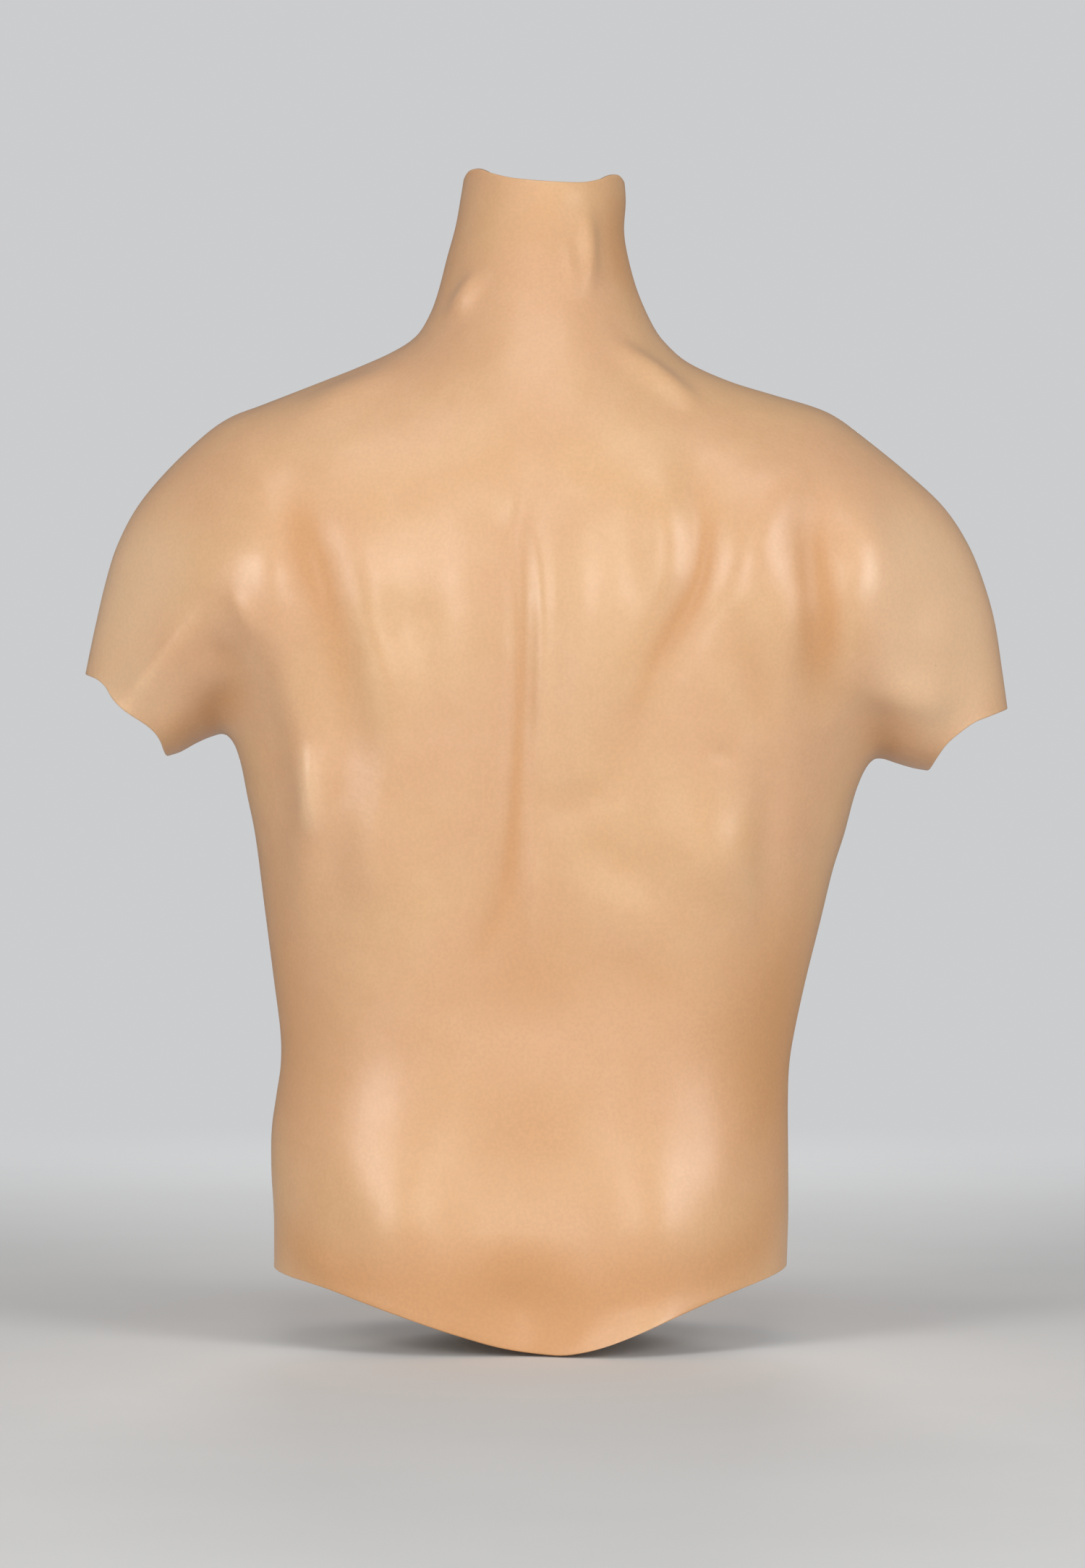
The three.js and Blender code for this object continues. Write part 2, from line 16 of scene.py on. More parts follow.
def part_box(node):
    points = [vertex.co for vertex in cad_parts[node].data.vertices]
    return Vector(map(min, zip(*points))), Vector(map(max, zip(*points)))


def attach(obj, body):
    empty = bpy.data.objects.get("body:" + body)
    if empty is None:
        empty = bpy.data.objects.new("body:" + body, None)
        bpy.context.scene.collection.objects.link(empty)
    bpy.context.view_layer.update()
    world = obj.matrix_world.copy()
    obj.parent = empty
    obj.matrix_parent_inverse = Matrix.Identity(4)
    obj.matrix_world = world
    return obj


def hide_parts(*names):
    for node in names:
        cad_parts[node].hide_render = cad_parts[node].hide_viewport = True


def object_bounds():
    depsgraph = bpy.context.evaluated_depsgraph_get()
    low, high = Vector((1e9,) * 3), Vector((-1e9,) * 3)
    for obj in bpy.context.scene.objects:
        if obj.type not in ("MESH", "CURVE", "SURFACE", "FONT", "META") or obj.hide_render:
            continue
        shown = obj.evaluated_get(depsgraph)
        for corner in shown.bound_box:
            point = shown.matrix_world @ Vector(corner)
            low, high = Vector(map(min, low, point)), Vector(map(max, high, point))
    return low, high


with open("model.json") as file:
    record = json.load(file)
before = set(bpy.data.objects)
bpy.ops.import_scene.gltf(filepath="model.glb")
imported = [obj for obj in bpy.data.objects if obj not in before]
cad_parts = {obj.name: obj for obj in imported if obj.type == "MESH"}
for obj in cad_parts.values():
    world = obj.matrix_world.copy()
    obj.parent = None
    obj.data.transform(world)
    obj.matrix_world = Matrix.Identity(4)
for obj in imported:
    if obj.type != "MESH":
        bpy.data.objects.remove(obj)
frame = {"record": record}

MM = 0.001
CAD_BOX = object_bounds()

# ---------- sizes of the torso, in millimetres, as in the CAD part ----------
SKIN = 5.0
GAP = 0.6
RIM_RECESS = 13.0
RIM_ROWS = (9, 5.5, 2.4, 0)  # distances of the last rows of the lattice from a rim
RIM_ROUNDING = 1.5
END_PLUG = 4.0
END_GAP = 1.2
EDGE = 110.0  # distance over which the section rounds in from the outline
ARM_DEPTH = 80.0
ARM_START, ARM_END = 150.0, 270.0
MIDDLE = [(-80, 0), (100, -3), (300, -2), (440, -3), (520, -9), (580, -20), (660, -38)]
BACK = [(-80, 99), (0, 97), (60, 90), (115, 86), (190, 92), (290, 104), (380, 112),
        (450, 105), (510, 93), (560, 84), (660, 80)]
FRONT = [(-80, 90), (0, 94), (100, 90), (200, 97), (300, 110), (380, 116), (440, 106),
         (500, 92), (560, 84), (660, 80)]

# Outline of the torso as (x, z). Outer sides run from the neck rim over the shoulder to the end of
# the arm. Inner sides run from the end of the arm through the armpit to the hem.
OUTER_LEFT = [(45, 647.5), (46.9, 635), (50, 617), (55, 598), (60.5, 576), (66, 561), (74, 548.5),
              (88, 539), (110, 529), (138, 517.8), (168, 506), (186, 499), (202, 488), (225, 466),
              (243, 444), (255, 421), (262, 399), (269, 369), (274.6, 342)]
LEFT_NECK, LEFT_SHOULDER = 6, 10
OUTER_RIGHT = [(-54, 645.5), (-54.7, 633), (-53.6, 615), (-56, 598), (-62, 576), (-71.5, 554.5),
               (-80, 543), (-93, 532), (-117, 521), (-143, 512.8), (-168, 505.3), (-182, 499),
               (-197, 488), (-224, 466), (-247, 444.5), (-262, 422), (-271.5, 399), (-278.5, 374),
               (-283, 345), (-286.4, 321)]
RIGHT_NECK, RIGHT_SHOULDER = 5, 10
INNER_LEFT = [(225.3, 292.4), (217, 295), (208, 300), (199, 304), (190.5, 305.8), (184.5, 300.5),
              (180, 288), (176, 268), (171, 243), (165.5, 200), (160, 157), (156, 125),
              (155.8, 105), (158.5, 86), (161.3, 65), (161.4, 40), (159.9, 14), (159.8, -18)]
LEFT_ARMPIT = 4
INNER_RIGHT = [(-238.5, 283.6), (-229, 285.2), (-219.5, 288), (-210, 290.9), (-204, 289.6),
               (-198.5, 282), (-193, 267.5), (-187, 245), (-180, 223), (-172.5, 192),
               (-164, 158), (-156.8, 125), (-153.6, 104), (-152.8, 80), (-153, 45), (-153, 14),
               (-152, -17)]
RIGHT_ARMPIT = 4
NECK_RIM = [(45, 647.5), (41.5, 650.2), (35.5, 650), (27, 646.2), (14, 642.2), (-6, 639.8),
            (-26, 639.7), (-38, 642.6), (-45, 646.3), (-50.5, 647.5), (-54, 645.5)]
LEFT_CUT = [(225.3, 292.4), (227, 300.8), (231.5, 308), (241.5, 317.4), (252.5, 326),
            (259.5, 334), (266, 338.7), (274.6, 342)]
RIGHT_CUT = [(-238.5, 283.6), (-241.5, 290.5), (-246.3, 298.3), (-253, 304.8), (-263, 312),
             (-273.5, 316.3), (-286.4, 321)]
HEM = [(159.8, -18), (148, -20), (135, -22), (117, -26.5), (83, -37.5), (48, -49), (19, -57),
       (-9, -60.5), (-26, -59), (-47, -53), (-82, -39), (-116, -26.5), (-152, -17)]

# Cells across each stretch of the outline. They are even, because hidden surfaces use every
# second line.
SHOULDER_CELLS = 40
NECK_HALF_CELLS = 32
ARMHOLE_CELLS = 72
SKIRT_ROWS = 8
PLATE_ROWS = 3  # with the row of the gap above the plate, an even number
TRUNK_ROWS = 88
NECK_ROWS = 34
ARM_ROWS = 44
SAME_POINT = 0.001  # points this close are one point

# Rings of a disc, from its edge inwards: (share of its radius, depth below its face).
DISC_RINGS = [(1.0, 0.8), (0.985, 0.2), (0.96, 0.0), (0.90, 0.0), (0.885, 0.9), (0.865, 0.9),
              (0.85, 0.0), (0.7, -0.7), (0.5, -1.3), (0.25, -1.6)]
DISC_CROWN = 1.7

# Sizes of the socket parts.
TUBE_WALL = 6.0
PIN_RADIUS, PIN_HOLE, CAP_RADIUS = 6.0, 6.4, 12.0
PLATE_HOLE_GAP = 0.4  # round the tube
NUT_BARREL, NUT_BORE, NUT_FLANGE, NUT_HOLE = 4.6, 3.2, 9.5, 5.0
SCREW_HEAD, SCREW_SHANK, HEX_KEY = 6.0, 2.8, 2.2
SINK = [(7.4, -1), (3.2, 3.4)]  # (radius, height) from the mouth to the screw's hole
PAST = 5.0  # how far a cutter reaches past what it cuts

# Angles in degrees. Sharper edges than these stay sharp.
SHARP_TURNED, SHARP_FILLING, SHARP_RIM, SHARP_DISC = 35, 40, 40, 50

# ---------- relief ----------
# Each stroke is (points, width, height): a smooth line of (x, z), the half-width of its soft
# ridge, and the height, which is below 0 for a groove. It tapers to both ends.
BACK_RELIEF = {
    "spine hollow": ([(10, 500), (12, 420), (12, 330), (10, 240), (6, 160), (4, 90)], 38, -5.0),
    "spine groove": ([(14, 440), (10, 391), (9, 340), (12, 267), (16, 222), (24, 190), (38, 166)], 8.5, -3.8),
    "spinous ridge": ([(5, 446), (-2, 412), (-4, 363), (-3, 308), (-1, 250)], 5.6, 1.4),
    "lower spinous ridge": ([(0, 252), (1, 205), (0, 168)], 5.2, 1.6),
    "top vertebra": ([(15, 450), (16, 428)], 5, 1.2),
    "left spinal muscle": ([(46, 470), (44, 380), (42, 290), (46, 215)], 20, 2.2),
    "right spinal muscle": ([(-30, 440), (-28, 380), (-24, 310)], 17, 2.4),
    "left blade valley": ([(146, 462), (134, 420), (121, 384), (110, 336), (102, 276)], 17, -6.6),
    "left blade border": ([(112, 424), (100, 375), (90, 322), (86, 277), (88, 240)], 18, 3.0),
    "left blade hollow": ([(74, 380), (84, 358)], 20, -2.4),
    "left blade plane": ([(122, 490), (104, 470)], 24, 2.0),
    "left lat": ([(156, 376), (146, 340), (136, 300), (133, 264), (135, 232), (136, 190)], 13, 7.2),
    "left lat crest": ([(131, 296), (129, 246)], 6, 3.6),
    "left rib swell": ([(100, 262), (90, 200)], 22, 4.6),
    "right trapezius border": ([(-70, 468), (-74, 424), (-76, 384)], 16, 4.2),
    "right trapezius valley": ([(-94, 470), (-99, 436), (-98, 404), (-84, 372), (-66, 340)], 12, -5.2),
    "right blade edge": ([(-78, 356), (-60, 320), (-44, 276), (-22, 260), (-2, 266)], 13, -3.4),
    "right blade ridge": ([(-134, 452), (-124, 400), (-118, 372)], 16, 2.8),
    "right blade plane": ([(-138, 462), (-148, 440)], 22, 3.4),
    "right blade hollow": ([(-118, 370), (-127, 338), (-130, 305)], 13, -3.2),
    "right blade nick": ([(-107, 296), (-112, 290)], 6, -1.6),
    "right rib swell": ([(-96, 248), (-114, 216)], 26, 6.4),
    "right flank groove": ([(-136, 300), (-136, 240), (-134, 170)], 10, -2.2),
    "right rib valley": ([(-20, 240), (-54, 226), (-84, 206)], 15, -1.7),
    "right lower swell": ([(-34, 212), (-64, 184)], 19, 1.3),
    "right lower hollow": ([(-48, 168), (-78, 156)], 24, -2.2),
    "left loin": ([(84, 38), (76, 4)], 30, 5.4),
    "left loin side": ([(118, 60), (112, 40)], 20, 1.2),
    "right loin": ([(-66, 42), (-72, -2)], 30, 5.4),
    "right loin side": ([(-114, 78), (-110, 14)], 15, 1.2),
    "sacral flat": ([(36, 92), (4, 104), (-26, 94)], 36, 3.6),
    "sacral hollow": ([(26, -30), (-8, -38)], 20, -5.4),
    "hem swell": ([(-8, -64), (-46, -56), (-84, -41)], 10, 9.0),
    "left hem swell": ([(142, -6), (118, -14)], 8, 1.5),
    "left arm ridge": ([(306, 256), (246, 322), (222, 350), (204, 372)], 12, 7.4),
    "left arm swell": ([(240, 340), (206, 384), (186, 408)], 20, 1.6),
    "left arm line": ([(248, 320), (222, 350), (200, 376)], 5, 2.0),
    "left arm crest": ([(178, 386), (165, 364)], 6.5, 2.6),
    "left arm hollow": ([(194, 358), (178, 342)], 12, -3.8),
    "left armpit": ([(198, 322), (174, 332)], 12, -3.0),
    "right axillary crease": ([(-158, 452), (-166, 400), (-168, 352), (-164, 316)], 18, -7.4),
    "right axillary lip": ([(-188, 438), (-198, 396)], 16, 4.2),
    "right deltoid": ([(-188, 446), (-222, 398), (-242, 346)], 26, 3.6),
    "right deltoid dimple": ([(-222, 384), (-230, 370)], 13, -1.6),
    "right triceps": ([(-208, 334), (-246, 321)], 12, 4.6),
    "right armpit": ([(-210, 304), (-194, 322)], 12, -3.2),
    "left shoulder ridge": ([(144, 492), (116, 508), (86, 522)], 11, 3.4),
    "right shoulder ridge": ([(-46, 538), (-70, 522), (-96, 501)], 6.5, 4.8),
    "neck right cord": ([(-30, 622), (-31, 596), (-30, 570)], 5, 4.6),
    "neck right small cord": ([(-19, 600), (-22, 568)], 4, 2.0),
    "neck left cord": ([(36, 582), (50, 557)], 5.5, 4.6),
}
# The front strokes are given for the mannequin's left and mirrored to the right.
FRONT_RELIEF = {
    "pectoral": ([(56, 420), (88, 408), (122, 416)], 46, 10.5),
    "pectoral fold": ([(12, 366), (48, 352), (92, 356), (128, 378)], 9, -4.4),
    "collarbone": ([(20, 504), (62, 506), (104, 514), (148, 506)], 8, 4.4),
    "collarbone hollow": ([(46, 524), (92, 526)], 12, -3.0),
    "deltoid groove": ([(134, 486), (152, 452), (160, 412), (154, 378)], 10, -4.0),
    "deltoid": ([(196, 452), (222, 410), (234, 366)], 28, 3.0),
    "neck cord": ([(14, 512), (26, 556), (40, 604)], 8, 3.2),
    "rib arch": ([(10, 334), (46, 306), (80, 262), (100, 222)], 11, -3.6),
    "abdominal column": ([(30, 318), (32, 240), (30, 150), (24, 60)], 18, 4.4),
    "abdominal border": ([(64, 286), (62, 210), (56, 130), (44, 40)], 10, -3.2),
    "upper fold": ([(4, 278), (30, 281), (56, 288)], 8, -3.0),
    "middle fold": ([(4, 230), (30, 232), (58, 237)], 8, -3.0),
    "lower fold": ([(4, 183), (30, 184), (56, 187)], 8, -2.6),
    "serratus": ([(112, 300), (122, 262), (124, 226)], 10, 2.4),
    "groin line": ([(126, 66), (92, 20), (56, -18)], 10, -3.6),
}
FRONT_CENTRE_RELIEF = {
    "breastbone": ([(-3, 480), (-3, 420), (-3, 366)], 9, -3.6),
    "notch": ([(-3, 510), (-3, 502)], 10, -4.2),
    "centre line": ([(-2, 334), (-2, 240), (0, 150), (1, 50)], 6, -2.4),
    "navel": ([(0, 129), (0, 123)], 5.5, -5.0),
    "larynx": ([(-4, 560), (-4, 576)], 8, 2.2),
}
QUIET_EDGE = 12.0  # relief fades out over this distance from the outline
STEP = 0.35  # space between the bumps of a stroke, in widths
TAPER = 0.8  # how softly a stroke begins and ends: more is softer
DEEP_GROOVE = 9.0  # depth at which a groove has its full painted shade, a deeper colour

# Patches of painted shade, a deeper colour in hollows, armpits, flanks and towards the hem, and of painted
# sheen, a paler colour, where the strength is negative.
PAINTED_LIGHT_PATCHES = {
    "sacrum": ([(28, -32), (-12, -40)], 26, 0.6),
    "left hem": ([(156, 20), (136, -8), (80, -36)], 15, 0.45),
    "right hem": ([(-150, 40), (-130, 0), (-80, -26)], 16, 0.35),
    "left armpit": ([(206, 312), (180, 322)], 16, 0.6),
    "right armpit": ([(-222, 298), (-196, 296)], 16, 0.6),
    "left flank": ([(168, 280), (152, 160), (150, 40)], 15, 0.35),
    "left blade valley": ([(144, 448), (132, 410), (122, 376)], 15, 0.42),
    "spine groove": ([(8, 430), (9, 340), (14, 250), (18, 210)], 5, 0.4),
    "right trapezius valley": ([(-99, 440), (-98, 400), (-84, 372), (-66, 342), (-58, 316)], 9, 0.45),
    "right axillary crease": ([(-158, 444), (-166, 390), (-168, 336)], 13, 0.5),
    "lower back": ([(10, 130), (4, 30)], 80, 0.62),
    "right lower flank": ([(-124, 190), (-120, 50)], 38, 0.6),
    "left lower flank": ([(130, 190), (124, 60)], 34, 0.3),
    "neck": ([(-2, 610), (-2, 590)], 40, 0.36),
    "hem": ([(150, 6), (80, -24), (0, -46), (-80, -24), (-150, 6)], 36, 0.85),
    "right flank": ([(-172, 250), (-148, 130), (-144, 20)], 20, 0.5),
    "right of neck": ([(-52, 650), (-50, 600), (-64, 556)], 11, 0.6),
    "left of neck": ([(48, 640), (54, 590), (66, 556)], 8, 0.3),
    "pale spine sides": ([(10, 410), (2, 330), (0, 230)], 42, -0.75),
    "pale left deltoid": ([(222, 428), (264, 356)], 34, -1.1),
    "pale right deltoid": ([(-206, 432), (-236, 392), (-250, 340)], 36, -1.2),
    "pale left arm": ([(290, 286), (240, 330), (206, 322)], 24, -0.9),
    "pale right arm": ([(-218, 352), (-262, 318)], 30, -1.0),
    "pale hem": ([(-24, -54), (-52, -48), (-78, -38)], 9, -1.0),
    "pale left lat": ([(133, 304), (128, 242)], 7, -0.9),
    "pale left shoulder": ([(150, 470), (100, 500)], 26, -0.35),
}

# ---------- curves ----------


def trace(controls, start=0, end=None, per_span=16):
    """Close points along a smooth curve through control points, from one of them to another."""
    knots = np.array(controls, float)
    last = len(knots) - 1
    end = last if end is None else end
    at = np.linspace(start, end, per_span * abs(end - start) + 1)
    k = np.minimum(at.astype(int), last - 1)
    w = (at - k)[:, None]
    here, there = knots[k], knots[k + 1]
    leave = (there - knots[np.maximum(k - 1, 0)]) / 2
    arrive = (knots[np.minimum(k + 2, last)] - here) / 2
    cubic = 2 * here - 2 * there + leave + arrive
    square = 3 * there - 3 * here - 2 * leave - arrive
    return ((cubic * w + square) * w + leave) * w + here


def measure(line):
    """Length along a line at each of its points."""
    return np.concatenate([[0], np.cumsum(np.linalg.norm(np.diff(line, axis=0), axis=1))])


def spread(line, fractions):
    """Points of a line at the given fractions of its length."""
    along = measure(line)
    at = np.asarray(fractions) * along[-1]
    return np.stack([np.interp(at, along, line[:, axis]) for axis in (0, 1)], axis=1)


def straight(start, end, fractions):
    return spread(np.array([start, end], float), fractions)


def at_height(line, z):
    """Where a line that runs downwards passes a height."""
    return np.array([np.interp(-z, -line[:, 1], line[:, 0]), z])


def dense_at_start(cells):
    return 1 - np.cos(np.linspace(0, math.pi / 2, cells + 1))


def dense_at_end(cells):
    return np.sin(np.linspace(0, math.pi / 2, cells + 1))


def dense_at_both(cells):
    return (1 - np.cos(np.linspace(0, math.pi, cells + 1))) / 2


def profile(knots, height):
    """The smooth curve through (height, value) knots, at many heights."""
    h, v = np.array(knots, float).T
    last = len(h) - 1
    before, after = np.maximum(np.arange(last + 1) - 1, 0), np.minimum(np.arange(last + 1) + 1, last)
    slope = (v[after] - v[before]) / (h[after] - h[before])
    k = np.clip(np.searchsorted(h, height, side="right") - 1, 0, last - 1)
    span = h[k + 1] - h[k]
    t = np.clip((height - h[k]) / span, 0, 1)
    start = (1 + 2 * t) * (1 - t) ** 2 * v[k] + t * (1 - t) ** 2 * span * slope[k]
    end = t * t * (3 - 2 * t) * v[k + 1] - t * t * (1 - t) * span * slope[k + 1]
    return start + end


def nearest_on_line(line, points):
    """Distance from each point to a line, and how far along the line that is, from 0 to 1."""
    best = np.full(len(points), np.inf)
    where = np.zeros(len(points))
    along = measure(line)
    for k in range(len(line) - 1):
        step = line[k + 1] - line[k]
        size = step @ step
        if size == 0:
            continue
        t = np.clip((points - line[k]) @ step / size, 0, 1)
        distance = np.linalg.norm(points - line[k] - t[:, None] * step, axis=1)
        closer = distance < best
        best = np.where(closer, distance, best)
        where = np.where(closer, (along[k] + t * math.sqrt(size)) / along[-1], where)
    return best, where


def smooth_step(value, low, high):
    t = np.clip((value - low) / (high - low), 0, 1)
    return t * t * (3 - 2 * t)


# ---------- the lattice that fills the outline ----------


class Lattice:
    """Points of the outline's inside, in rows and columns, and the cells between them."""

    def __init__(self):
        self.points = []
        self.known = {}
        self.on_side = set()
        self.level = set()
        self.fine = {}
        self.coarse = {}
        self.rims = []

    def number(self, point):
        """The number of a point. Edges that two grids share give the same point twice."""
        key = (round(point[0] / SAME_POINT), round(point[1] / SAME_POINT))
        for across, up in itertools.product((0, -1, 1), repeat=2):
            near = (key[0] + across, key[1] + up)
            if near in self.known:
                return self.known[near]
        self.known[key] = len(self.points)
        self.points.append(point)
        return self.known[key]

    def fill(self, bottom, top, left, right, parts, sides=(True, True), rim=None):
        """Fills four edges with a grid. parts gives each row of cells its name.

        sides says whether the left and right edges lie on the outline's sides, and rim which end
        is open: "bottom" or "top".
        """
        across = (measure(bottom) / measure(bottom)[-1] + measure(top) / measure(top)[-1]) / 2
        up = (measure(left) / measure(left)[-1] + measure(right) / measure(right)[-1]) / 2
        u, v = across[None, :, None], up[:, None, None]
        ruled = left[:, None] * (1 - u) + right[:, None] * u + bottom[None] * (1 - v) + top[None] * v
        lower = bottom[0] * (1 - u) + bottom[-1] * u
        upper = top[0] * (1 - u) + top[-1] * u
        grid = ruled - lower * (1 - v) - upper * v
        numbers = np.array([[self.number(point) for point in row] for row in grid])
        for edge, column in zip(sides, (0, -1)):
            if edge:
                self.on_side.update(numbers[:, column].tolist())
        for cells, step in ((self.fine, 1), (self.coarse, 2)):
            n = numbers[::step, ::step]
            for j in range(len(n) - 1):
                ring = [n[j, :-1], n[j, 1:], n[j + 1, 1:], n[j + 1, :-1]]
                quads = self.same_way_round(np.stack(ring, axis=1))
                cells.setdefault(parts[j * step], []).append(quads)
        if rim:
            self.rims.append(numbers[0] if rim == "bottom" else numbers[-1])
        return numbers

    def same_way_round(self, quads):
        """Turns quads that run the wrong way, seen from the back."""
        a, b, c, d = (np.array([self.points[n] for n in quads[:, k]]) for k in range(4))
        across, up = c - a, d - b
        if (across[:, 0] * up[:, 1] - across[:, 1] * up[:, 0]).sum() > 0:
            return quads[:, ::-1]
        return quads

    def cells(self, kind, *parts):
        chosen = [quads for part in parts for quads in kind[part]]
        return np.concatenate(chosen)


def rows_to_rim(line, rows):
    """Fractions of a line that ends at a rim: even rows, then the faces of the plug in the rim."""
    total = measure(line)[-1]
    foam_end = total - RIM_RECESS - END_PLUG - END_GAP
    last = [total - RIM_RECESS - END_PLUG, total - RIM_RECESS, *(total - d for d in RIM_ROWS)]
    return np.concatenate([np.linspace(0, foam_end, rows + 1), last]) / total


def parts_to_rim(name, rows):
    return [name] * rows + [f"{name}_rim", f"{name}_end_plug"] + [f"{name}_rim"] * 4


def build_lattice():
    lattice = Lattice()
    side_left = trace(INNER_LEFT, LEFT_ARMPIT)
    side_right = trace(INNER_RIGHT, RIGHT_ARMPIT)
    armpit_left, armpit_right = side_left[0], side_right[0]
    neck_left = np.array(OUTER_LEFT[LEFT_NECK], float)
    neck_right = np.array(OUTER_RIGHT[RIGHT_NECK], float)
    half = dense_at_both(NECK_HALF_CELLS) / 2
    neck_columns = np.concatenate([half, half[1:] + 0.5])

    # Columns of the trunk, from the left side to the right: shoulder, neck, shoulder.
    share = (armpit_left[0] - np.array([neck_left[0], neck_right[0]])) / (armpit_left - armpit_right)[0]
    columns = np.concatenate([
        dense_at_start(SHOULDER_CELLS) * share[0],
        share[0] + neck_columns[1:] * (share[1] - share[0]),
        share[1] + dense_at_end(SHOULDER_CELLS)[1:] * (1 - share[1]),
    ])
    armpit_line = straight(armpit_left, armpit_right, columns)

    # Skirt and plate: from the hem up to the foot of the foam.
    plate_low, plate_high = (corner.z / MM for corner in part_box("base_plate"))
    foam_foot = plate_high + GAP
    hem_left, hem_right = side_left[-1], side_right[-1]
    skirt = np.linspace(0, 1, SKIRT_ROWS + 1)[:-1]
    level_heights = [*np.linspace(plate_low, plate_high, PLATE_ROWS + 1), foam_foot]

    def low_edge(side, hem):
        rising = [at_height(side, hem[1] + (plate_low - hem[1]) * t) for t in skirt[1:]]
        return np.array([hem, *rising, *[at_height(side, z) for z in level_heights]])

    low_left, low_right = low_edge(side_left, hem_left), low_edge(side_right, hem_right)
    foam_line = straight(low_left[-1], low_right[-1], columns)
    low_parts = ["skirt"] * SKIRT_ROWS + ["plate"] * PLATE_ROWS + ["joint"]
    low = lattice.fill(spread(trace(HEM), columns), foam_line, low_left, low_right, low_parts,
                       rim="bottom")
    for row, z in zip(low[SKIRT_ROWS:], level_heights):
        for number in row:
            lattice.points[number] = np.array([lattice.points[number][0], z])
            lattice.level.add(int(number))

    # Trunk: from the foot of the foam to the line between the armpits.
    def rising_side(side):
        above = side[side[:, 1] > foam_foot]
        rows = (np.linspace(0, 1, TRUNK_ROWS + 1) + dense_at_end(TRUNK_ROWS)) / 2
        return spread(np.vstack([above, at_height(side, foam_foot)])[::-1], rows)

    lattice.fill(foam_line, armpit_line, rising_side(side_left), rising_side(side_right),
                 ["trunk"] * TRUNK_ROWS)

    # Chest: from the line between the armpits to the shoulders and the base of the neck.
    neck_line = straight(neck_left, neck_right, neck_columns)
    chest_top = np.vstack([
        spread(trace(OUTER_LEFT, LEFT_SHOULDER, LEFT_NECK), dense_at_start(SHOULDER_CELLS)),
        neck_line[1:-1],
        spread(trace(OUTER_RIGHT, RIGHT_NECK, RIGHT_SHOULDER), dense_at_end(SHOULDER_CELLS)),
    ])
    armhole = dense_at_both(ARMHOLE_CELLS)
    armhole_left = straight(armpit_left, chest_top[0], armhole)
    armhole_right = straight(armpit_right, chest_top[-1], armhole)
    chest = lattice.fill(armpit_line, chest_top, armhole_left, armhole_right,
                         ["chest"] * ARMHOLE_CELLS, sides=(False, False))
    lattice.on_side.update(chest[-1, :SHOULDER_CELLS + 1].tolist())
    lattice.on_side.update(chest[-1, -SHOULDER_CELLS - 1:].tolist())

    # Neck and arms: each ends at its rim.
    def to_rim(line, rows):
        return spread(line, rows_to_rim(line, rows))

    lattice.fill(neck_line, spread(trace(NECK_RIM), neck_columns),
                 to_rim(trace(OUTER_LEFT, LEFT_NECK, 0), NECK_ROWS),
                 to_rim(trace(OUTER_RIGHT, RIGHT_NECK, 0), NECK_ROWS),
                 parts_to_rim("neck", NECK_ROWS), rim="top")
    lattice.fill(armhole_left, spread(trace(LEFT_CUT), armhole),
                 to_rim(trace(INNER_LEFT, LEFT_ARMPIT, 0), ARM_ROWS),
                 to_rim(trace(OUTER_LEFT, LEFT_SHOULDER), ARM_ROWS),
                 parts_to_rim("left_arm", ARM_ROWS), rim="top")
    lattice.fill(armhole_right, spread(trace(RIGHT_CUT), armhole),
                 to_rim(trace(INNER_RIGHT, RIGHT_ARMPIT, 0), ARM_ROWS),
                 to_rim(trace(OUTER_RIGHT, RIGHT_SHOULDER), ARM_ROWS),
                 parts_to_rim("right_arm", ARM_ROWS), rim="top")
    return lattice


# ---------- the surface over the lattice ----------


def relief(strokes, points, mirrored=False):
    """Height of all strokes at each point: each is a chain of soft bumps along its line."""
    total = np.zeros(len(points))
    at = points * (-1, 1) if mirrored else points
    for controls, width, height in strokes.values():
        line = trace(controls, per_span=64)
        line = spread(line, np.linspace(0, 1, max(8, int(measure(line)[-1] / (width * STEP)))))
        taper = np.sin(np.linspace(0, math.pi, len(line) + 2)[1:-1]) ** TAPER
        near = np.all((at > line.min(axis=0) - 3 * width) & (at < line.max(axis=0) + 3 * width), axis=1)

        def chain(places):
            apart = places[:, None] - line[None]
            return np.exp(-(apart ** 2).sum(axis=2) / width ** 2) @ taper

        total[near] += height * chain(at[near]) / chain(line).max()
    return total


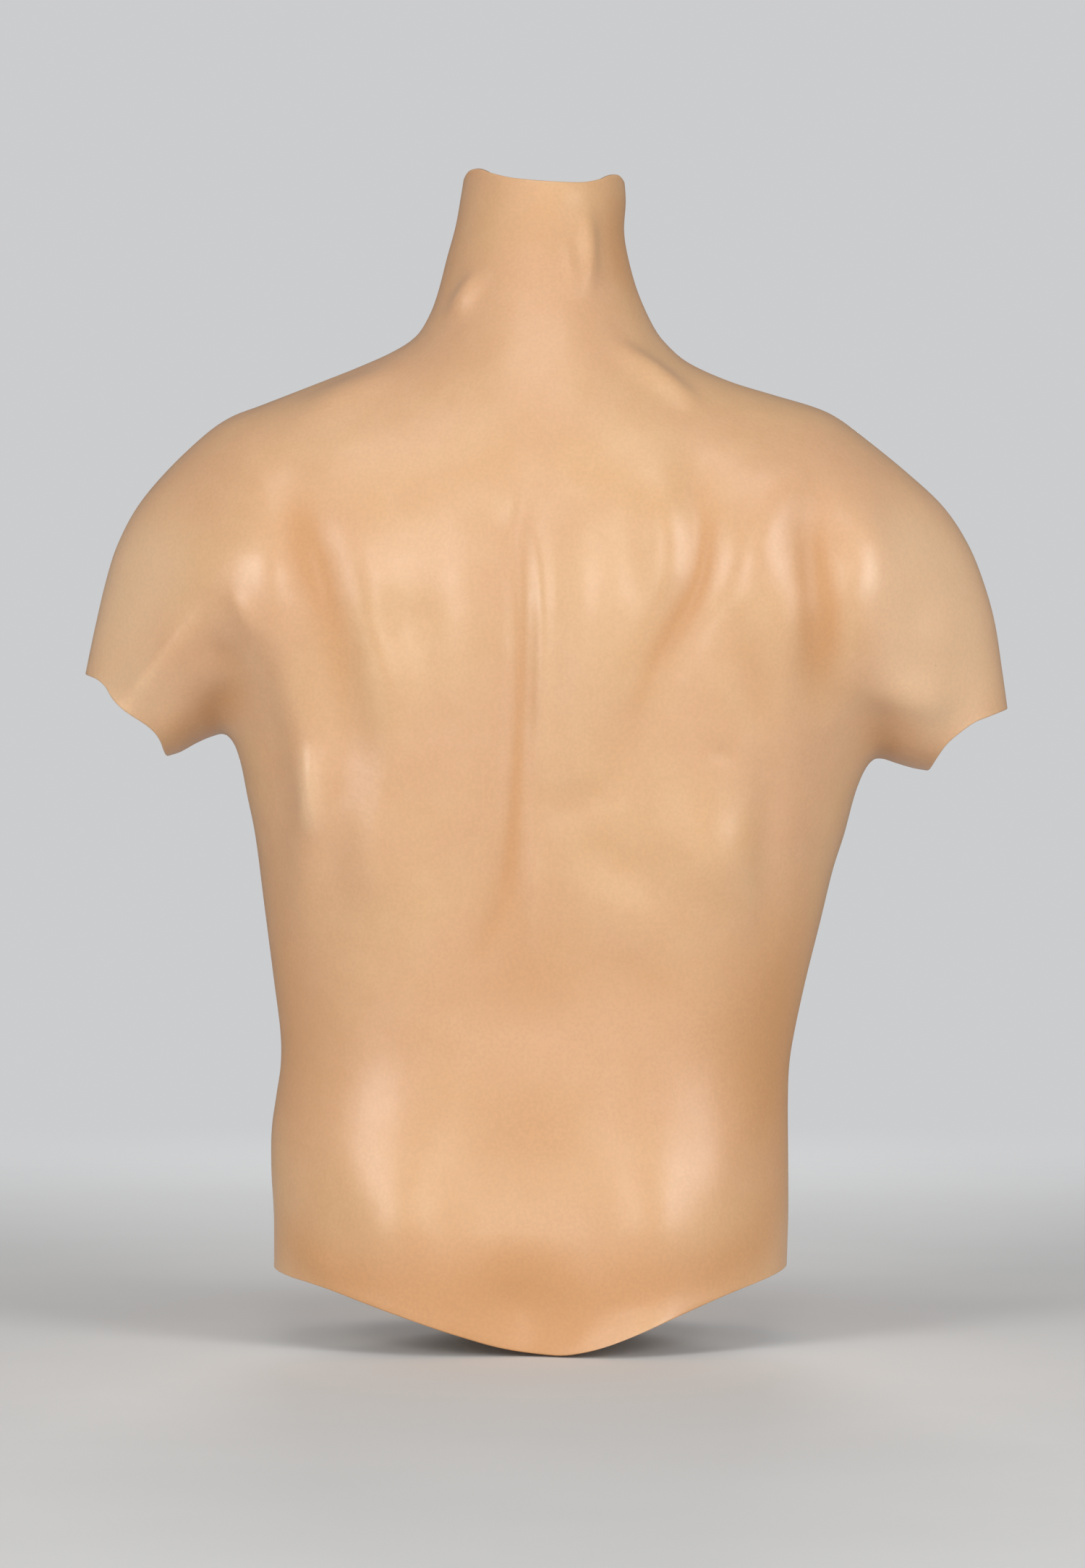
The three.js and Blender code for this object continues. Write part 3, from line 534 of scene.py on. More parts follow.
class Surface:
    """The outer surface in space: a back and a front point over each point of the lattice."""

    def __init__(self, lattice):
        self.lattice = lattice
        self.points = np.array(lattice.points)
        count = len(self.points)
        self.on_side = np.zeros(count, bool)
        self.on_side[list(lattice.on_side)] = True
        self.level = np.zeros(count, bool)
        self.level[list(lattice.level)] = True
        self.all_fine = lattice.cells(lattice.fine, *lattice.fine)

        sides = (OUTER_LEFT, OUTER_RIGHT, INNER_LEFT, INNER_RIGHT)
        inward = [nearest_on_line(trace(side, per_span=8), self.points)[0] for side in sides]
        swell = np.prod([1 - (1 - np.minimum(d / EDGE, 1)) ** 2 for d in inward], axis=0) ** 0.5
        swell[self.on_side] = 0
        quiet = smooth_step(np.min(inward, axis=0), 0, QUIET_EDGE)
        arm = smooth_step(np.abs(self.points[:, 0]), ARM_START, ARM_END)
        middle = profile(MIDDLE, self.points[:, 1])
        self.place, self.outward = {}, {}
        for name, side, knots in (("back", 1, BACK), ("front", -1, FRONT)):
            depth = profile(knots, self.points[:, 1]) * (1 - arm) + ARM_DEPTH * arm
            y = middle + side * depth * swell
            self.place[name] = np.stack([self.points[:, 0], y, self.points[:, 1]], axis=1)
        self.find_normals()
        front = relief(FRONT_RELIEF, self.points) + relief(FRONT_RELIEF, self.points, mirrored=True)
        self.relief = {
            "back": relief(BACK_RELIEF, self.points) * quiet,
            "front": (front + relief(FRONT_CENTRE_RELIEF, self.points)) * quiet,
        }
        # Painted shade where the listed patches are above 0, painted sheen where they are below 0.
        self.tone = np.clip(relief(PAINTED_LIGHT_PATCHES, self.points), -1, 1)
        for name, height in self.relief.items():
            self.place[name] = self.place[name] + self.outward[name] * height[:, None]

    def find_normals(self):
        """Directions out of the smooth body, before the relief. At a level point they are level."""
        for name, side in (("back", 1), ("front", -1)):
            a, b, c, d = (self.place[name][self.all_fine[:, k]] for k in range(4))
            face = np.cross(c - a, d - b) * side
            total = np.zeros_like(self.place[name])
            for k in range(4):
                np.add.at(total, self.all_fine[:, k], face)
            self.outward[name] = total
        shared = self.outward["back"] + self.outward["front"]
        for name in ("back", "front"):
            self.outward[name][self.on_side] = shared[self.on_side]
            self.outward[name][self.level, 2] = 0
            self.outward[name] /= np.linalg.norm(self.outward[name], axis=1)[:, None]

    def at(self, number, name, inward):
        return self.place[name][number] - self.outward[name][number] * inward


class Shell:
    """Collects the vertices and faces of a piece made over the lattice."""

    def __init__(self, surface):
        self.surface = surface
        self.known = {}
        self.vertices = []
        self.painted_lights = []
        self.faces = []

    def vertex(self, number, name, inward):
        both = self.surface.on_side[number]
        key = (number, "both" if both else name, inward)
        if key not in self.known:
            self.known[key] = len(self.vertices)
            self.vertices.append(self.surface.at(number, name, inward) * MM)
            # Grooves get painted shade by their depth, on top of the listed patches of painted shade and
            # painted sheen.
            depth = np.clip(-self.surface.relief[name][number] / DEEP_GROOVE, 0, 1)
            self.painted_lights.append(min(1.0, depth + self.surface.tone[number]))
        return self.known[key]

    def face(self, corners, turned):
        self.faces.append(corners[::-1] if turned else corners)

    def sheets(self, rings, inward, faces_inwards=False):
        """The back and front of some rings of lattice points."""
        for ring in rings:
            for name in ("back", "front"):
                corners = [self.vertex(number, name, inward) for number in ring]
                self.face(corners, (name == "front") != faces_inwards)

    def mesh(self, name):
        made = bpy.data.meshes.new(name)
        made.from_pydata([tuple(v) for v in self.vertices], [], self.faces)
        made.update()
        return made


def open_edges(rings, on_side):
    """Edges that only one ring has, and that aren't on the outline's sides."""
    edges = {}
    for ring in rings:
        for start, end in zip(ring, [*ring[1:], ring[0]]):
            if edges.pop((end, start), None) is None:
                edges[(start, end)] = True
    return [edge for edge in edges if not (on_side[edge[0]] and on_side[edge[1]])]


def filling(surface, rings, inward):
    """A solid that fills the body over some rings, below a distance from its surface."""
    shell = Shell(surface)
    shell.sheets(rings, inward)
    for start, end in open_edges(rings, surface.on_side):
        back, front = ([shell.vertex(n, name, inward) for n in (start, end)] for name in ("back", "front"))
        corners = [back[1], back[0], front[0], front[1]]
        shell.faces.append(list(dict.fromkeys(corners)))
    return shell


# ---------- making objects ----------


def add_object(name, mesh, smooth_angle=None):
    """Puts a mesh in the scene. Edges sharper than smooth_angle stay sharp."""
    piece = bpy.data.objects.new(name, mesh)
    bpy.context.scene.collection.objects.link(piece)
    mesh.polygons.foreach_set("use_smooth", [True] * len(mesh.polygons))
    if smooth_angle is not None:
        mesh.set_sharp_from_angle(angle=math.radians(smooth_angle))
    return piece


def finish_piece(piece, material, slot, *nodes):
    """Gives a piece its material and its body, and hides the CAD nodes that it stands for. slot is not used.
    """
    piece.data.materials.clear()
    piece.data.materials.append(material)
    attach(piece, "root")
    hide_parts(*nodes)
    return piece


def edit(mesh, change):
    """Runs a function on a mesh as a BMesh."""
    work = bmesh.new()
    work.from_mesh(mesh)
    change(work)
    work.to_mesh(mesh)
    work.free()


def apply_modifiers(piece):
    evaluated = piece.evaluated_get(bpy.context.evaluated_depsgraph_get())
    mesh = bpy.data.meshes.new_from_object(evaluated)
    piece.modifiers.clear()
    piece.data = mesh


def cut_away(piece, smooth_angle, *cutters):
    """Cuts other objects out of a piece, and removes them."""
    for cutter in cutters:
        cut = piece.modifiers.new("cut", "BOOLEAN")
        cut.object = cutter
        cut.solver = "EXACT"
    apply_modifiers(piece)
    for cutter in cutters:
        bpy.data.objects.remove(cutter)
    piece.data.set_sharp_from_angle(angle=math.radians(smooth_angle))


def rounded(corners, radius=0.6, steps=3, closed=True):
    """A turning profile with its corners rounded. Corners on the axis stay."""
    result = []
    count = len(corners)
    for k, corner in enumerate(corners):
        here = Vector(corner)
        if here.x == 0 or (not closed and k in (0, count - 1)):
            result.append(here)
            continue
        ends = []
        for other in (corners[k - 1], corners[(k + 1) % count]):
            toward = Vector(other) - here
            ends.append(here + toward.normalized() * min(radius, toward.length * 0.45))
        for step in range(steps + 1):
            t = step / steps
            result.append(ends[0].lerp(here, t).lerp(here.lerp(ends[1], t), t))
    return result


def turned_mesh(name, outline, segments=96):
    """A solid turned about Z from a closed profile of (radius, height) in millimetres."""
    vertices, faces, rings = [], [], []
    for radius, height in outline:
        if radius < 1e-6:
            rings.append([len(vertices)] * segments)
            vertices.append((0, 0, height * MM))
            continue
        rings.append(list(range(len(vertices), len(vertices) + segments)))
        for k in range(segments):
            angle = 2 * math.pi * k / segments
            vertices.append((radius * MM * math.cos(angle), radius * MM * math.sin(angle), height * MM))
    for lower, upper in zip(rings, rings[1:] + rings[:1]):
        for k in range(segments):
            after = (k + 1) % segments
            corners = list(dict.fromkeys([lower[k], lower[after], upper[after], upper[k]]))
            if len(corners) > 2:
                faces.append(corners)
    mesh = bpy.data.meshes.new(name)
    mesh.from_pydata(vertices, [], faces)
    edit(mesh, lambda work: bmesh.ops.recalc_face_normals(work, faces=work.faces))
    return mesh


def column(radius, low, high):
    """The turning profile of a plain cylinder."""
    return [(0, low), (radius, low), (radius, high), (0, high)]


def turned(name, outline, segments=96, place=None, smooth_angle=None):
    """A turned object, moved to its place by a matrix."""
    mesh = turned_mesh(name, outline, segments)
    if place is not None:
        mesh.transform(place)
    return add_object(name, mesh, smooth_angle)


def pin_place(turn=1):
    """Lays a turned piece along the cross pin, towards the left, or towards the right for -1."""
    low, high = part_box("cross_pin")
    return Matrix.Translation((0, 0, (low.z + high.z) / 2)) @ Matrix.Rotation(turn * math.pi / 2, 4, "Y")


def screw_places():
    """Where the six collar screws stand, from the CAD nodes."""
    places = []
    for k in range(1, 7):
        low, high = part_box(f"collar_screw_{k}")
        places.append(Matrix.Translation(((low.x + high.x) / 2, (low.y + high.y) / 2, 0)))
    return places


# ---------- materials ----------


class Nodes:
    """Short calls for building a material's node tree."""

    def __init__(self, name):
        self.material = bpy.data.materials.new(name)
        self.material.use_nodes = True
        self.tree = self.material.node_tree
        self.shader = self.tree.nodes["Principled BSDF"]
        self.where = self.tree.nodes.new("ShaderNodeTexCoord").outputs["Object"]

    def put(self, value, socket):
        if isinstance(value, bpy.types.NodeSocket):
            self.tree.links.new(value, socket)
        else:
            socket.default_value = value

    def set(self, **values):
        """Sets sockets of the shader, by their names with underscores for spaces."""
        self.fill(self.shader, values)

    def fill(self, node, values):
        for name, value in values.items():
            self.put(value, node.inputs[name.replace("_", " ")])

    def new(self, kind, output, settings, **values):
        """Adds a node with its settings and its sockets' values, and returns one of its outputs."""
        node = self.tree.nodes.new("ShaderNode" + kind)
        for name, value in settings.items():
            setattr(node, name, value)
        self.fill(node, values)
        return node.outputs[output]

    def stretched(self, stretch):
        if stretch is None:
            return self.where
        return self.new("Mapping", "Vector", {}, Scale=stretch, Vector=self.where)

    def noise(self, scale, detail=4, roughness=0.55, stretch=None):
        return self.new("TexNoise", "Fac", {}, Scale=scale, Detail=detail, Roughness=roughness,
                        Vector=self.stretched(stretch))

    def cells(self, scale):
        return self.new("TexVoronoi", "Distance", {}, Scale=scale, Vector=self.where)

    def bands(self, scale, axis, distortion=0.0, stretch=None):
        return self.new("TexWave", "Fac", {"bands_direction": axis}, Scale=scale,
                        Distortion=distortion, Vector=self.stretched(stretch))

    def attribute(self, name):
        return self.new("Attribute", "Fac", {"attribute_name": name})

    def remap(self, value, low, high, to_low=0.0, to_high=1.0):
        return self.new("MapRange", "Result", {"interpolation_type": "SMOOTHSTEP"}, From_Min=low,
                        From_Max=high, To_Min=to_low, To_Max=to_high, Value=value)

    def math(self, operation, a, b):
        node = self.tree.nodes.new("ShaderNodeMath")
        node.operation = operation
        self.put(a, node.inputs[0])
        self.put(b, node.inputs[1])
        return node.outputs["Value"]

    def mix(self, amount, a, b, blend="MIX"):
        a, b = (c if isinstance(c, bpy.types.NodeSocket) else (*c, 1) for c in (a, b))
        return self.new("Mix", "Result", {"data_type": "RGBA", "blend_type": blend}, Factor=amount,
                        A=a, B=b)

    def bump(self, height, distance, strength=1.0, under=None):
        below = {} if under is None else {"Normal": under}
        return self.new("Bump", "Normal", {}, Strength=strength, Distance=distance, Height=height,
                        **below)


def tint(color, factor):
    return tuple(channel * factor for channel in color)


def vinyl_material(name, color, roughness=0.36):
    """Satin plastisol skin: soft hue patches, painted shade as a deeper colour in hollows, painted sheen as
    paler patches, fine pebble grain.
    """
    n = Nodes(name)
    pinkish = (color[0] * 1.0, color[1] * 0.98, color[2] * 1.0)
    yellowish = (color[0] * 1.02, color[1] * 1.04, color[2] * 1.0)
    painted_sheen_colour = (color[0] * 1.09, color[1] * 1.17, color[2] * 1.26)
    mottle_and_painted_shade_colour = (color[0] * 0.86, color[1] * 0.74, color[2] * 0.58)
    patches = n.remap(n.noise(9, detail=3), 0.35, 0.65)
    base = n.mix(patches, pinkish, yellowish)
    mottled = n.remap(n.noise(55, detail=5, roughness=0.6), 0.3, 0.7, 0.0, 0.16)
    # A random mottle towards the deeper colour, which is the skin's own colour.
    base = n.mix(mottled, base, mottle_and_painted_shade_colour)
    tone = n.attribute("tone")
    # Painted shade: the deeper colour in grooves and in the listed dark patches.
    base = n.mix(n.remap(tone, 0.0, 1.0), base, mottle_and_painted_shade_colour)
    # Painted sheen: the paler colour in the listed pale patches.
    base = n.mix(n.remap(tone, -1.0, 0.0, 1.0, 0.0), base, painted_sheen_colour)
    speck = n.remap(n.cells(36), 0.012, 0.028, 0.5, 0.0)
    rare = n.remap(n.noise(11, detail=0), 0.62, 0.66)
    base = n.mix(n.math("MULTIPLY", speck, rare), base, tint(color, 0.25))
    fine = n.remap(n.noise(520, detail=1), 0.3, 0.7, 0.975, 1.025)
    base = n.mix(1.0, base, fine, "MULTIPLY")
    grain = n.noise(450, detail=1)
    brushed = n.noise(170, detail=2, stretch=(1.0, 1.0, 0.4))
    surface = n.bump(grain, 0.00012, 0.4)
    surface = n.bump(brushed, 0.00014, 0.3, surface)
    surface = n.bump(n.noise(38, detail=3), 0.0016, 0.35, surface)
    wear = n.remap(n.noise(20, detail=6, roughness=0.65), 0.3, 0.7, roughness - 0.04, roughness + 0.06)
    wear = n.math("ADD", wear, n.remap(tone, 0.0, 1.0, 0.0, 0.22))
    n.set(Base_Color=base, Roughness=wear, Normal=surface, IOR=1.5, Subsurface_Weight=0.12,
          Subsurface_Radius=(0.010, 0.005, 0.003), Subsurface_Scale=1.0, Coat_Weight=0.2,
          Coat_Roughness=0.27)
    return n.material


def foam_material(color):
    """Moulded urethane foam: open pores under a slightly yellowed crust."""
    n = Nodes("urethane_foam")
    pores = n.cells(420)
    aged = n.remap(n.noise(14, detail=5), 0.35, 0.7)
    base = n.mix(aged, color, (color[0] * 0.92, color[1] * 0.82, color[2] * 0.6))
    # Painted shade: the colour darkens at the centres of the pores.
    base = n.mix(n.remap(pores, 0.0, 0.35, 0.5, 0.0), base, tint(color, 0.45))
    surface = n.bump(pores, 0.0008, 0.8)
    surface = n.bump(n.noise(160, detail=4), 0.0012, 0.5, surface)
    n.set(Base_Color=base, Roughness=0.95, Normal=surface)
    return n.material


def plywood_material(color):
    """Birch plywood: long grain on the faces and thin plies along the edge."""
    n = Nodes("plywood")
    grain = n.noise(60, detail=8, roughness=0.65, stretch=(1, 9, 9))
    rings = n.bands(11, "Y", 7.0, stretch=(0.4, 1, 1))
    figure = n.math("MULTIPLY", n.remap(grain, 0.3, 0.7), n.remap(rings, 0.2, 1.0, 0.5, 1.0))
    base = n.mix(figure, tint(color, 0.72), tint(color, 1.12))
    plies = n.remap(n.bands(210, "Z"), 0.35, 0.65)
    upward = n.new("SeparateXYZ", "Z", {}, Vector=n.new("NewGeometry", "Normal", {}))
    edge = n.remap(n.math("ABSOLUTE", upward, 0.0), 0.3, 0.6, 1.0, 0.0)
    base = n.mix(n.math("MULTIPLY", edge, plies), base, tint(color, 0.42))
    n.set(Base_Color=base, Roughness=n.remap(grain, 0.2, 0.8, 0.62, 0.82),
          Normal=n.bump(grain, 0.0005, 0.5))
    return n.material


def plastic_material(color):
    """Black moulded plastic: fine spark texture, paler where it has been rubbed."""
    n = Nodes("black_plastic")
    texture = n.noise(1300, detail=3, roughness=0.6)
    rubbed = n.remap(n.noise(26, detail=7, roughness=0.7), 0.55, 0.75)
    base = n.mix(rubbed, color, (color[0] * 1.9 + 0.01, color[1] * 1.9 + 0.01, color[2] * 1.9 + 0.01))
    n.set(Base_Color=base, Roughness=n.remap(texture, 0.3, 0.7, 0.46, 0.62),
          Normal=n.bump(texture, 0.00015, 0.5))
    return n.material


def steel_material(color):
    """Zinc-plated steel: fine turning marks and a faint spangle."""
    n = Nodes("plated_steel")
    spangle = n.cells(900)
    marks = n.noise(500, detail=6, stretch=(1, 1, 8))
    stain = n.remap(n.noise(90, detail=5), 0.5, 0.8)
    base = n.mix(n.remap(spangle, 0.0, 0.6, 0.0, 0.35), color, tint(color, 0.78))
    base = n.mix(stain, base, tint(color, 0.7))
    n.set(Base_Color=base, Metallic=1.0, Roughness=n.remap(marks, 0.3, 0.7, 0.26, 0.44),
          Normal=n.bump(marks, 0.0001, 0.4))
    return n.material


# ---------- pieces ----------


def moulded_skin(surface, material):
    """The vinyl skin: fine outside, coarser inside, with rounded rims at its four openings."""
    shell = Shell(surface)
    shell.sheets(surface.all_fine.tolist(), 0)
    lattice = surface.lattice
    # The inner sheet has half the lines, so at a rim its edges take in the points between.
    between = {}
    rim_points = set()
    for rim in lattice.rims:
        rim = rim.tolist()
        rim_points.update(rim)
        for a, m, b in zip(rim[::2], rim[1::2], rim[2::2]):
            between[(a, b)] = between[(b, a)] = m
    coarse = []
    for ring in lattice.cells(lattice.coarse, *lattice.coarse).tolist():
        full = []
        for start, end in zip(ring, [*ring[1:], ring[0]]):
            full.append(start)
            if (start, end) in between:
                full.append(between[(start, end)])
        coarse.append(full)
    shell.sheets(coarse, SKIN, faces_inwards=True)
    for start, end in open_edges(surface.all_fine.tolist(), surface.on_side):
        for name in ("back", "front"):
            ends = (end, start) if name == "back" else (start, end)
            outer = [shell.vertex(n, name, 0) for n in ends]
            inner = [shell.vertex(n, name, SKIN) for n in ends]
            shell.faces.append([outer[0], outer[1], inner[1], inner[0]])
    mesh = shell.mesh("moulded_skin")
    rim_vertices = {shell.known[key] for key in shell.known if key[0] in rim_points}

    # The skin carries its painted shade and painted sheen as a point attribute.
    attribute = mesh.attributes.new("tone", "FLOAT", "POINT")
    attribute.data.foreach_set("value", shell.painted_lights)

    def round_rims(work):
        work.verts.ensure_lookup_table()
        edges = [e for e in work.edges if all(v.index in rim_vertices for v in e.verts)
                 and e.calc_face_angle(0) > math.radians(SHARP_RIM)]
        bmesh.ops.bevel(work, geom=edges, offset=RIM_ROUNDING * MM, segments=3, profile=0.5,
                        affect="EDGES", clamp_overlap=True)

    edit(mesh, round_rims)
    piece = add_object("moulded_skin", mesh)
    return finish_piece(piece, material, "skin_vinyl", "torso_skin")


def foam_filling(surface, material):
    """The foam, with room for the socket tube, its end plug, the cross pin and the pin's caps."""
    lattice = surface.lattice
    rings = lattice.cells(lattice.coarse, "trunk", "chest", "neck", "left_arm", "right_arm").tolist()
    mesh = filling(surface, rings, SKIN + GAP).mesh("foam_filling")
    piece = add_object("foam_filling", mesh, SHARP_FILLING)
    tube_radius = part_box("socket_tube")[1].x / MM
    plug_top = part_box("socket_end_plug")[1].z / MM
    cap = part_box("pin_cap_left")[1] / MM
    bore = turned("bore", column(tube_radius + GAP, -PAST, plug_top + 1))
    room = turned("pin_room", column(cap.y + 1, -cap.x - 1, cap.x + 1), 32, pin_place())
    cut_away(piece, SHARP_FILLING, bore, room)
    finish_piece(piece, material, "core_foam", "foam_core")
    return piece


def end_plug(name, surface, part, node, material):
    """A vinyl disc inside a rim: a rounded edge, a moulded groove and a low crown."""
    lattice = surface.lattice
    rows = lattice.fine[f"{part}_end_plug"][0]
    inner, outer = lattice_row(rows, 0), lattice_row(rows, 1)

    def loop(numbers):
        back = [surface.at(n, "back", SKIN + GAP) for n in numbers]
        front = [surface.at(n, "front", SKIN + GAP) for n in reversed(numbers[1:-1])]
        return np.array(back + front)

    low, high = loop(inner), loop(outer)
    centre_low, centre_high = low.mean(axis=0), high.mean(axis=0)
    axis = centre_high - centre_low
    axis /= np.linalg.norm(axis)
    rings = [low]
    for scale, drop in DISC_RINGS:
        rings.append(centre_high + (high - centre_high) * scale - axis * drop)
    vertices = np.concatenate(rings + [[centre_high + axis * DISC_CROWN]]) * MM
    count = len(low)
    faces = [list(range(count))]
    for k in range(len(rings) - 1):
        for i in range(count):
            j = (i + 1) % count
            faces.append([k * count + i, k * count + j, (k + 1) * count + j, (k + 1) * count + i])
    top = (len(rings) - 1) * count
    faces += [[top + i, top + (i + 1) % count, len(vertices) - 1] for i in range(count)]
    mesh = bpy.data.meshes.new(name)
    mesh.from_pydata([tuple(v) for v in vertices], [], faces)
    edit(mesh, lambda work: bmesh.ops.recalc_face_normals(work, faces=work.faces))
    piece = add_object(name, mesh, SHARP_DISC)
    return finish_piece(piece, material, "skin_vinyl", node)


def lattice_row(quads, which):
    """The lattice points along the lower (0) or upper (1) edge of a row of cells, in order."""
    pairs = [(q[0], q[1]) if which == 0 else (q[3], q[2]) for q in quads.tolist()]
    chain = dict(pairs)
    start = (set(chain) - set(chain.values())).pop()
    row = [start]
    while row[-1] in chain:
        row.append(chain[row[-1]])
    return row


def plate_and_collar(surface, plywood, plastic):
    lattice = surface.lattice
    rings = lattice.cells(lattice.fine, "plate").tolist()
    plate = add_object("plywood_plate", filling(surface, rings, SKIN + 2 * GAP).mesh("plywood_plate"))
    low, high = (corner.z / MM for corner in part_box("base_plate"))
    low, high = low - PAST, high + PAST
    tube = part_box("socket_tube")[1].x / MM
    holes = [turned("bore", column(tube + PLATE_HOLE_GAP, low, high))]
    holes += [turned("barrel", column(NUT_HOLE, low, high), 32, place) for place in screw_places()]
    cut_away(plate, SHARP_FILLING, *holes)
    finish_piece(plate, plywood, "plywood", "base_plate")

    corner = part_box("socket_collar")[1]
    outer, top, inner = corner.x / MM, corner.z / MM, tube - TUBE_WALL
    ring = rounded([(inner, 2), (inner + 2, 0), (outer - 2, 0), (outer, 2), (outer, top), (inner, top)])
    collar = turned("collar_ring", ring, 128)
    hole = SINK[-1][0]
    sink = [(0, SINK[0][1]), *SINK, (hole, top + 1), (0, top + 1)]
    cut_away(collar, SHARP_TURNED, *[turned("sink", sink, 32, place) for place in screw_places()])
    finish_piece(collar, plastic, "black_plastic", "socket_collar")


def socket_pieces(plastic, steel):
    """The tube with its end plug, and the cross pin with its caps."""
    low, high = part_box("socket_tube")
    outer, bottom, top = high.x / MM, low.z / MM, high.z / MM
    inner = outer - TUBE_WALL
    tube = rounded([(inner, bottom), (outer, bottom), (outer, top), (inner, top)], 1.0)
    piece = turned("pole_tube", tube, 128, None, SHARP_TURNED)
    cut_away(piece, SHARP_TURNED, turned("drill", column(PIN_HOLE, -80, 80), 32, pin_place()))
    finish_piece(piece, plastic, "black_plastic", "socket_tube")

    low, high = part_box("socket_end_plug")
    bottom, flange, plug_top = low.z / MM, high.x / MM, high.z / MM
    body, seat = inner - 1, top + 0.3
    plug = rounded([(0, bottom + 1.5), (30, bottom + 1.5), (32, bottom), (body, bottom), (body, seat),
                    (flange, seat), (flange, plug_top), (0, plug_top)], 0.8)
    piece = turned("tube_end_plug", plug, 96, None, SHARP_TURNED)
    finish_piece(piece, plastic, "black_plastic", "socket_end_plug")

    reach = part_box("cross_pin")[1].x / MM
    pin = rounded(column(PIN_RADIUS, -reach, reach), 1.0)
    piece = turned("steel_pin", pin, 48, pin_place(), SHARP_TURNED)
    finish_piece(piece, steel, "steel", "cross_pin")
    for side, turn in (("left", 1), ("right", -1)):
        inner, outer = sorted(abs(corner.x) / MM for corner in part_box(f"pin_cap_{side}"))
        floor = reach + 0.4
        cap = rounded([(PIN_HOLE, inner), (CAP_RADIUS, inner), (CAP_RADIUS, outer), (0, outer),
                       (0, floor), (PIN_HOLE, floor)], 0.8)
        piece = turned(f"{side}_pin_cap", cap, 48, pin_place(turn), SHARP_TURNED)
        finish_piece(piece, steel, "steel", f"pin_cap_{side}")


def fasteners(steel):
    """Six countersunk screws with hex sockets, and the flanged nuts that they enter."""
    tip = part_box("collar_screw_1")[1].z / MM
    foot, top = (corner.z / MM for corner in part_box("t_nut_1"))
    screw = rounded([(0, 0), (SCREW_HEAD, 0), (SCREW_HEAD, 0.4), (SCREW_SHANK, 3.2),
                     (SCREW_SHANK, tip - 1), (SCREW_SHANK - 1, tip), (0, tip)], 0.25)
    nut = rounded([(NUT_BORE, foot), (NUT_BARREL, foot), (NUT_BARREL, top - 1.5),
                   (NUT_FLANGE, top - 1.5), (NUT_FLANGE, top), (NUT_BORE, top)], 0.3)
    for k, place in enumerate(screw_places(), 1):
        piece = turned(f"hex_screw_{k}", screw, 48)
        cut_away(piece, SHARP_TURNED, turned("key", column(HEX_KEY, -1, HEX_KEY), 6))
        piece.data.transform(place)
        finish_piece(piece, steel, "steel", f"collar_screw_{k}")
        piece = turned(f"flanged_nut_{k}", nut, 48, place, SHARP_TURNED)
        finish_piece(piece, steel, "steel", f"t_nut_{k}")


# ---------- studio ----------
CAMERA_DISTANCE = 3.0
PICTURE_HEIGHT = 0.9535  # what the picture spans from top to bottom, at the middle of the torso
PICTURE_CENTRE = (-0.0035, 0.2755)
SENSOR = 36.0
BACKDROP = (0.6, 0.605, 0.615, 1)
AMBIENT = (0.17, 0.175, 0.185, 1)
FLOOR_REACH = 6.0
FLOOR_FADE = (0.6, 1.9)  # distances over which the floor fades out


def add_camera():
    data = bpy.data.cameras.new("camera")
    data.sensor_width = SENSOR
    data.lens = SENSOR * CAMERA_DISTANCE / PICTURE_HEIGHT
    camera = bpy.data.objects.new("camera", data)
    camera.location = (PICTURE_CENTRE[0], CAMERA_DISTANCE, PICTURE_CENTRE[1])
    camera.rotation_euler = (math.pi / 2, 0, math.pi)
    bpy.context.scene.collection.objects.link(camera)
    bpy.context.scene.camera = camera


def add_light(name, place, size, power, color=(1, 1, 1)):
    """A softbox that faces the middle of the torso. size is (width, height)."""
    data = bpy.data.lights.new(name, "AREA")
    data.shape = "RECTANGLE"
    data.size, data.size_y = size
    data.energy = power
    data.color = color
    lamp = bpy.data.objects.new(name, data)
    lamp.location = place
    toward = Vector((0, 0, 0.3)) - Vector(place)
    lamp.rotation_euler = toward.to_track_quat("-Z", "Y").to_euler()
    bpy.context.scene.collection.objects.link(lamp)


def add_world():
    """A pale backdrop that gives little light itself, so that the softboxes shape the torso."""
    world = bpy.data.worlds.new("studio")
    bpy.context.scene.world = world
    world.use_nodes = True
    tree = world.node_tree
    backdrop = tree.nodes["Background"]
    backdrop.inputs["Color"].default_value = BACKDROP
    ambient = tree.nodes.new("ShaderNodeBackground")
    ambient.inputs["Color"].default_value = AMBIENT
    path = tree.nodes.new("ShaderNodeLightPath")
    mix = tree.nodes.new("ShaderNodeMixShader")
    tree.links.new(path.outputs["Is Camera Ray"], mix.inputs[0])
    tree.links.new(ambient.outputs[0], mix.inputs[1])
    tree.links.new(backdrop.outputs[0], mix.inputs[2])
    tree.links.new(mix.outputs[0], tree.nodes["World Output"].inputs["Surface"])


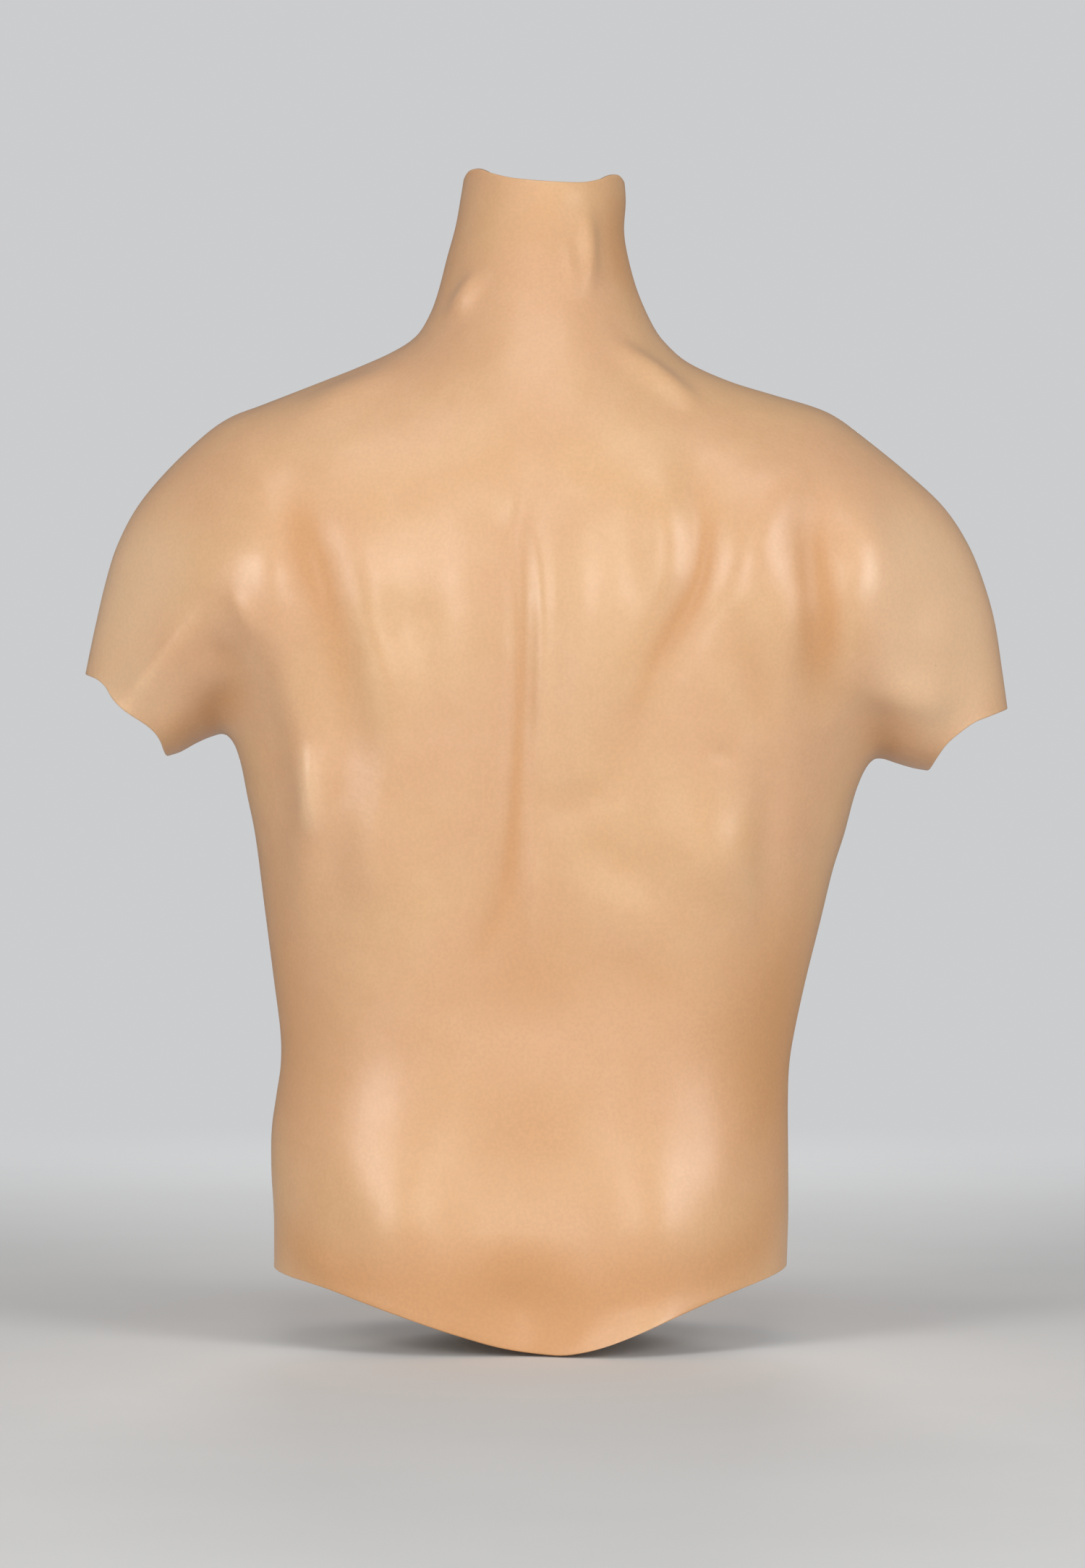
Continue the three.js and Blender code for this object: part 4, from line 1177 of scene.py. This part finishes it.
def add_floor():
    """A pale floor under the torso, which fades into the backdrop further out."""
    mesh = bpy.data.meshes.new("floor")
    height = CAD_BOX[0].z - 0.001
    corners = [(-FLOOR_REACH, -FLOOR_REACH), (FLOOR_REACH, -FLOOR_REACH),
               (FLOOR_REACH, FLOOR_REACH), (-FLOOR_REACH, FLOOR_REACH)]
    mesh.from_pydata([(x, y, height) for x, y in corners], [], [(0, 1, 2, 3)])
    floor = bpy.data.objects.new("floor", mesh)
    bpy.context.scene.collection.objects.link(floor)
    n = Nodes("floor_paint")
    shade = n.mix(n.remap(n.noise(3), 0.3, 0.7), (0.66, 0.66, 0.65), (0.69, 0.69, 0.68))
    reach = n.new("VectorMath", "Value", {"operation": "LENGTH"}, Vector=n.where)
    n.set(Base_Color=shade, Roughness=0.9, Alpha=n.remap(reach, *FLOOR_FADE, 1.0, 0.0))
    mesh.materials.append(n.material)


def add_studio():
    add_world()
    add_floor()
    add_light("left_softbox", (1.85, 1.95, 0.92), (1.0, 1.7), 33, (1.0, 0.985, 0.96))
    add_light("right_softbox", (-1.95, 1.8, 0.92), (1.0, 1.7), 33)
    add_light("camera_softbox", (0.0, 3.2, 0.95), (0.8, 1.6), 22)
    add_light("top_softbox", (0.0, 0.9, 2.6), (1.8, 1.2), 12)
    add_light("front_softbox", (0.0, -2.9, 0.5), (0.9, 0.6), 34)
    bpy.context.scene.view_settings.view_transform = "Standard"


# ---------- assembly ----------


def colour_of(slot):
    for entry in frame["record"]["materials"]:
        if entry["slot"] == slot:
            return tuple(entry["base_color"][:3])
    raise KeyError(slot)


def main():
    add_camera()
    add_studio()
    vinyl = vinyl_material("skin_vinyl", colour_of("skin_vinyl"))
    foam = foam_material(colour_of("core_foam"))
    plywood = plywood_material(colour_of("plywood"))
    plastic = plastic_material(colour_of("black_plastic"))
    steel = steel_material(colour_of("steel"))
    surface = Surface(build_lattice())
    moulded_skin(surface, vinyl)
    foam_filling(surface, foam)
    end_plug("neck_disc", surface, "neck", "neck_end_plug", vinyl)
    end_plug("left_arm_disc", surface, "left_arm", "arm_end_plug_left", vinyl)
    end_plug("right_arm_disc", surface, "right_arm", "arm_end_plug_right", vinyl)
    plate_and_collar(surface, plywood, plastic)
    socket_pieces(plastic, steel)
    fasteners(steel)


main()
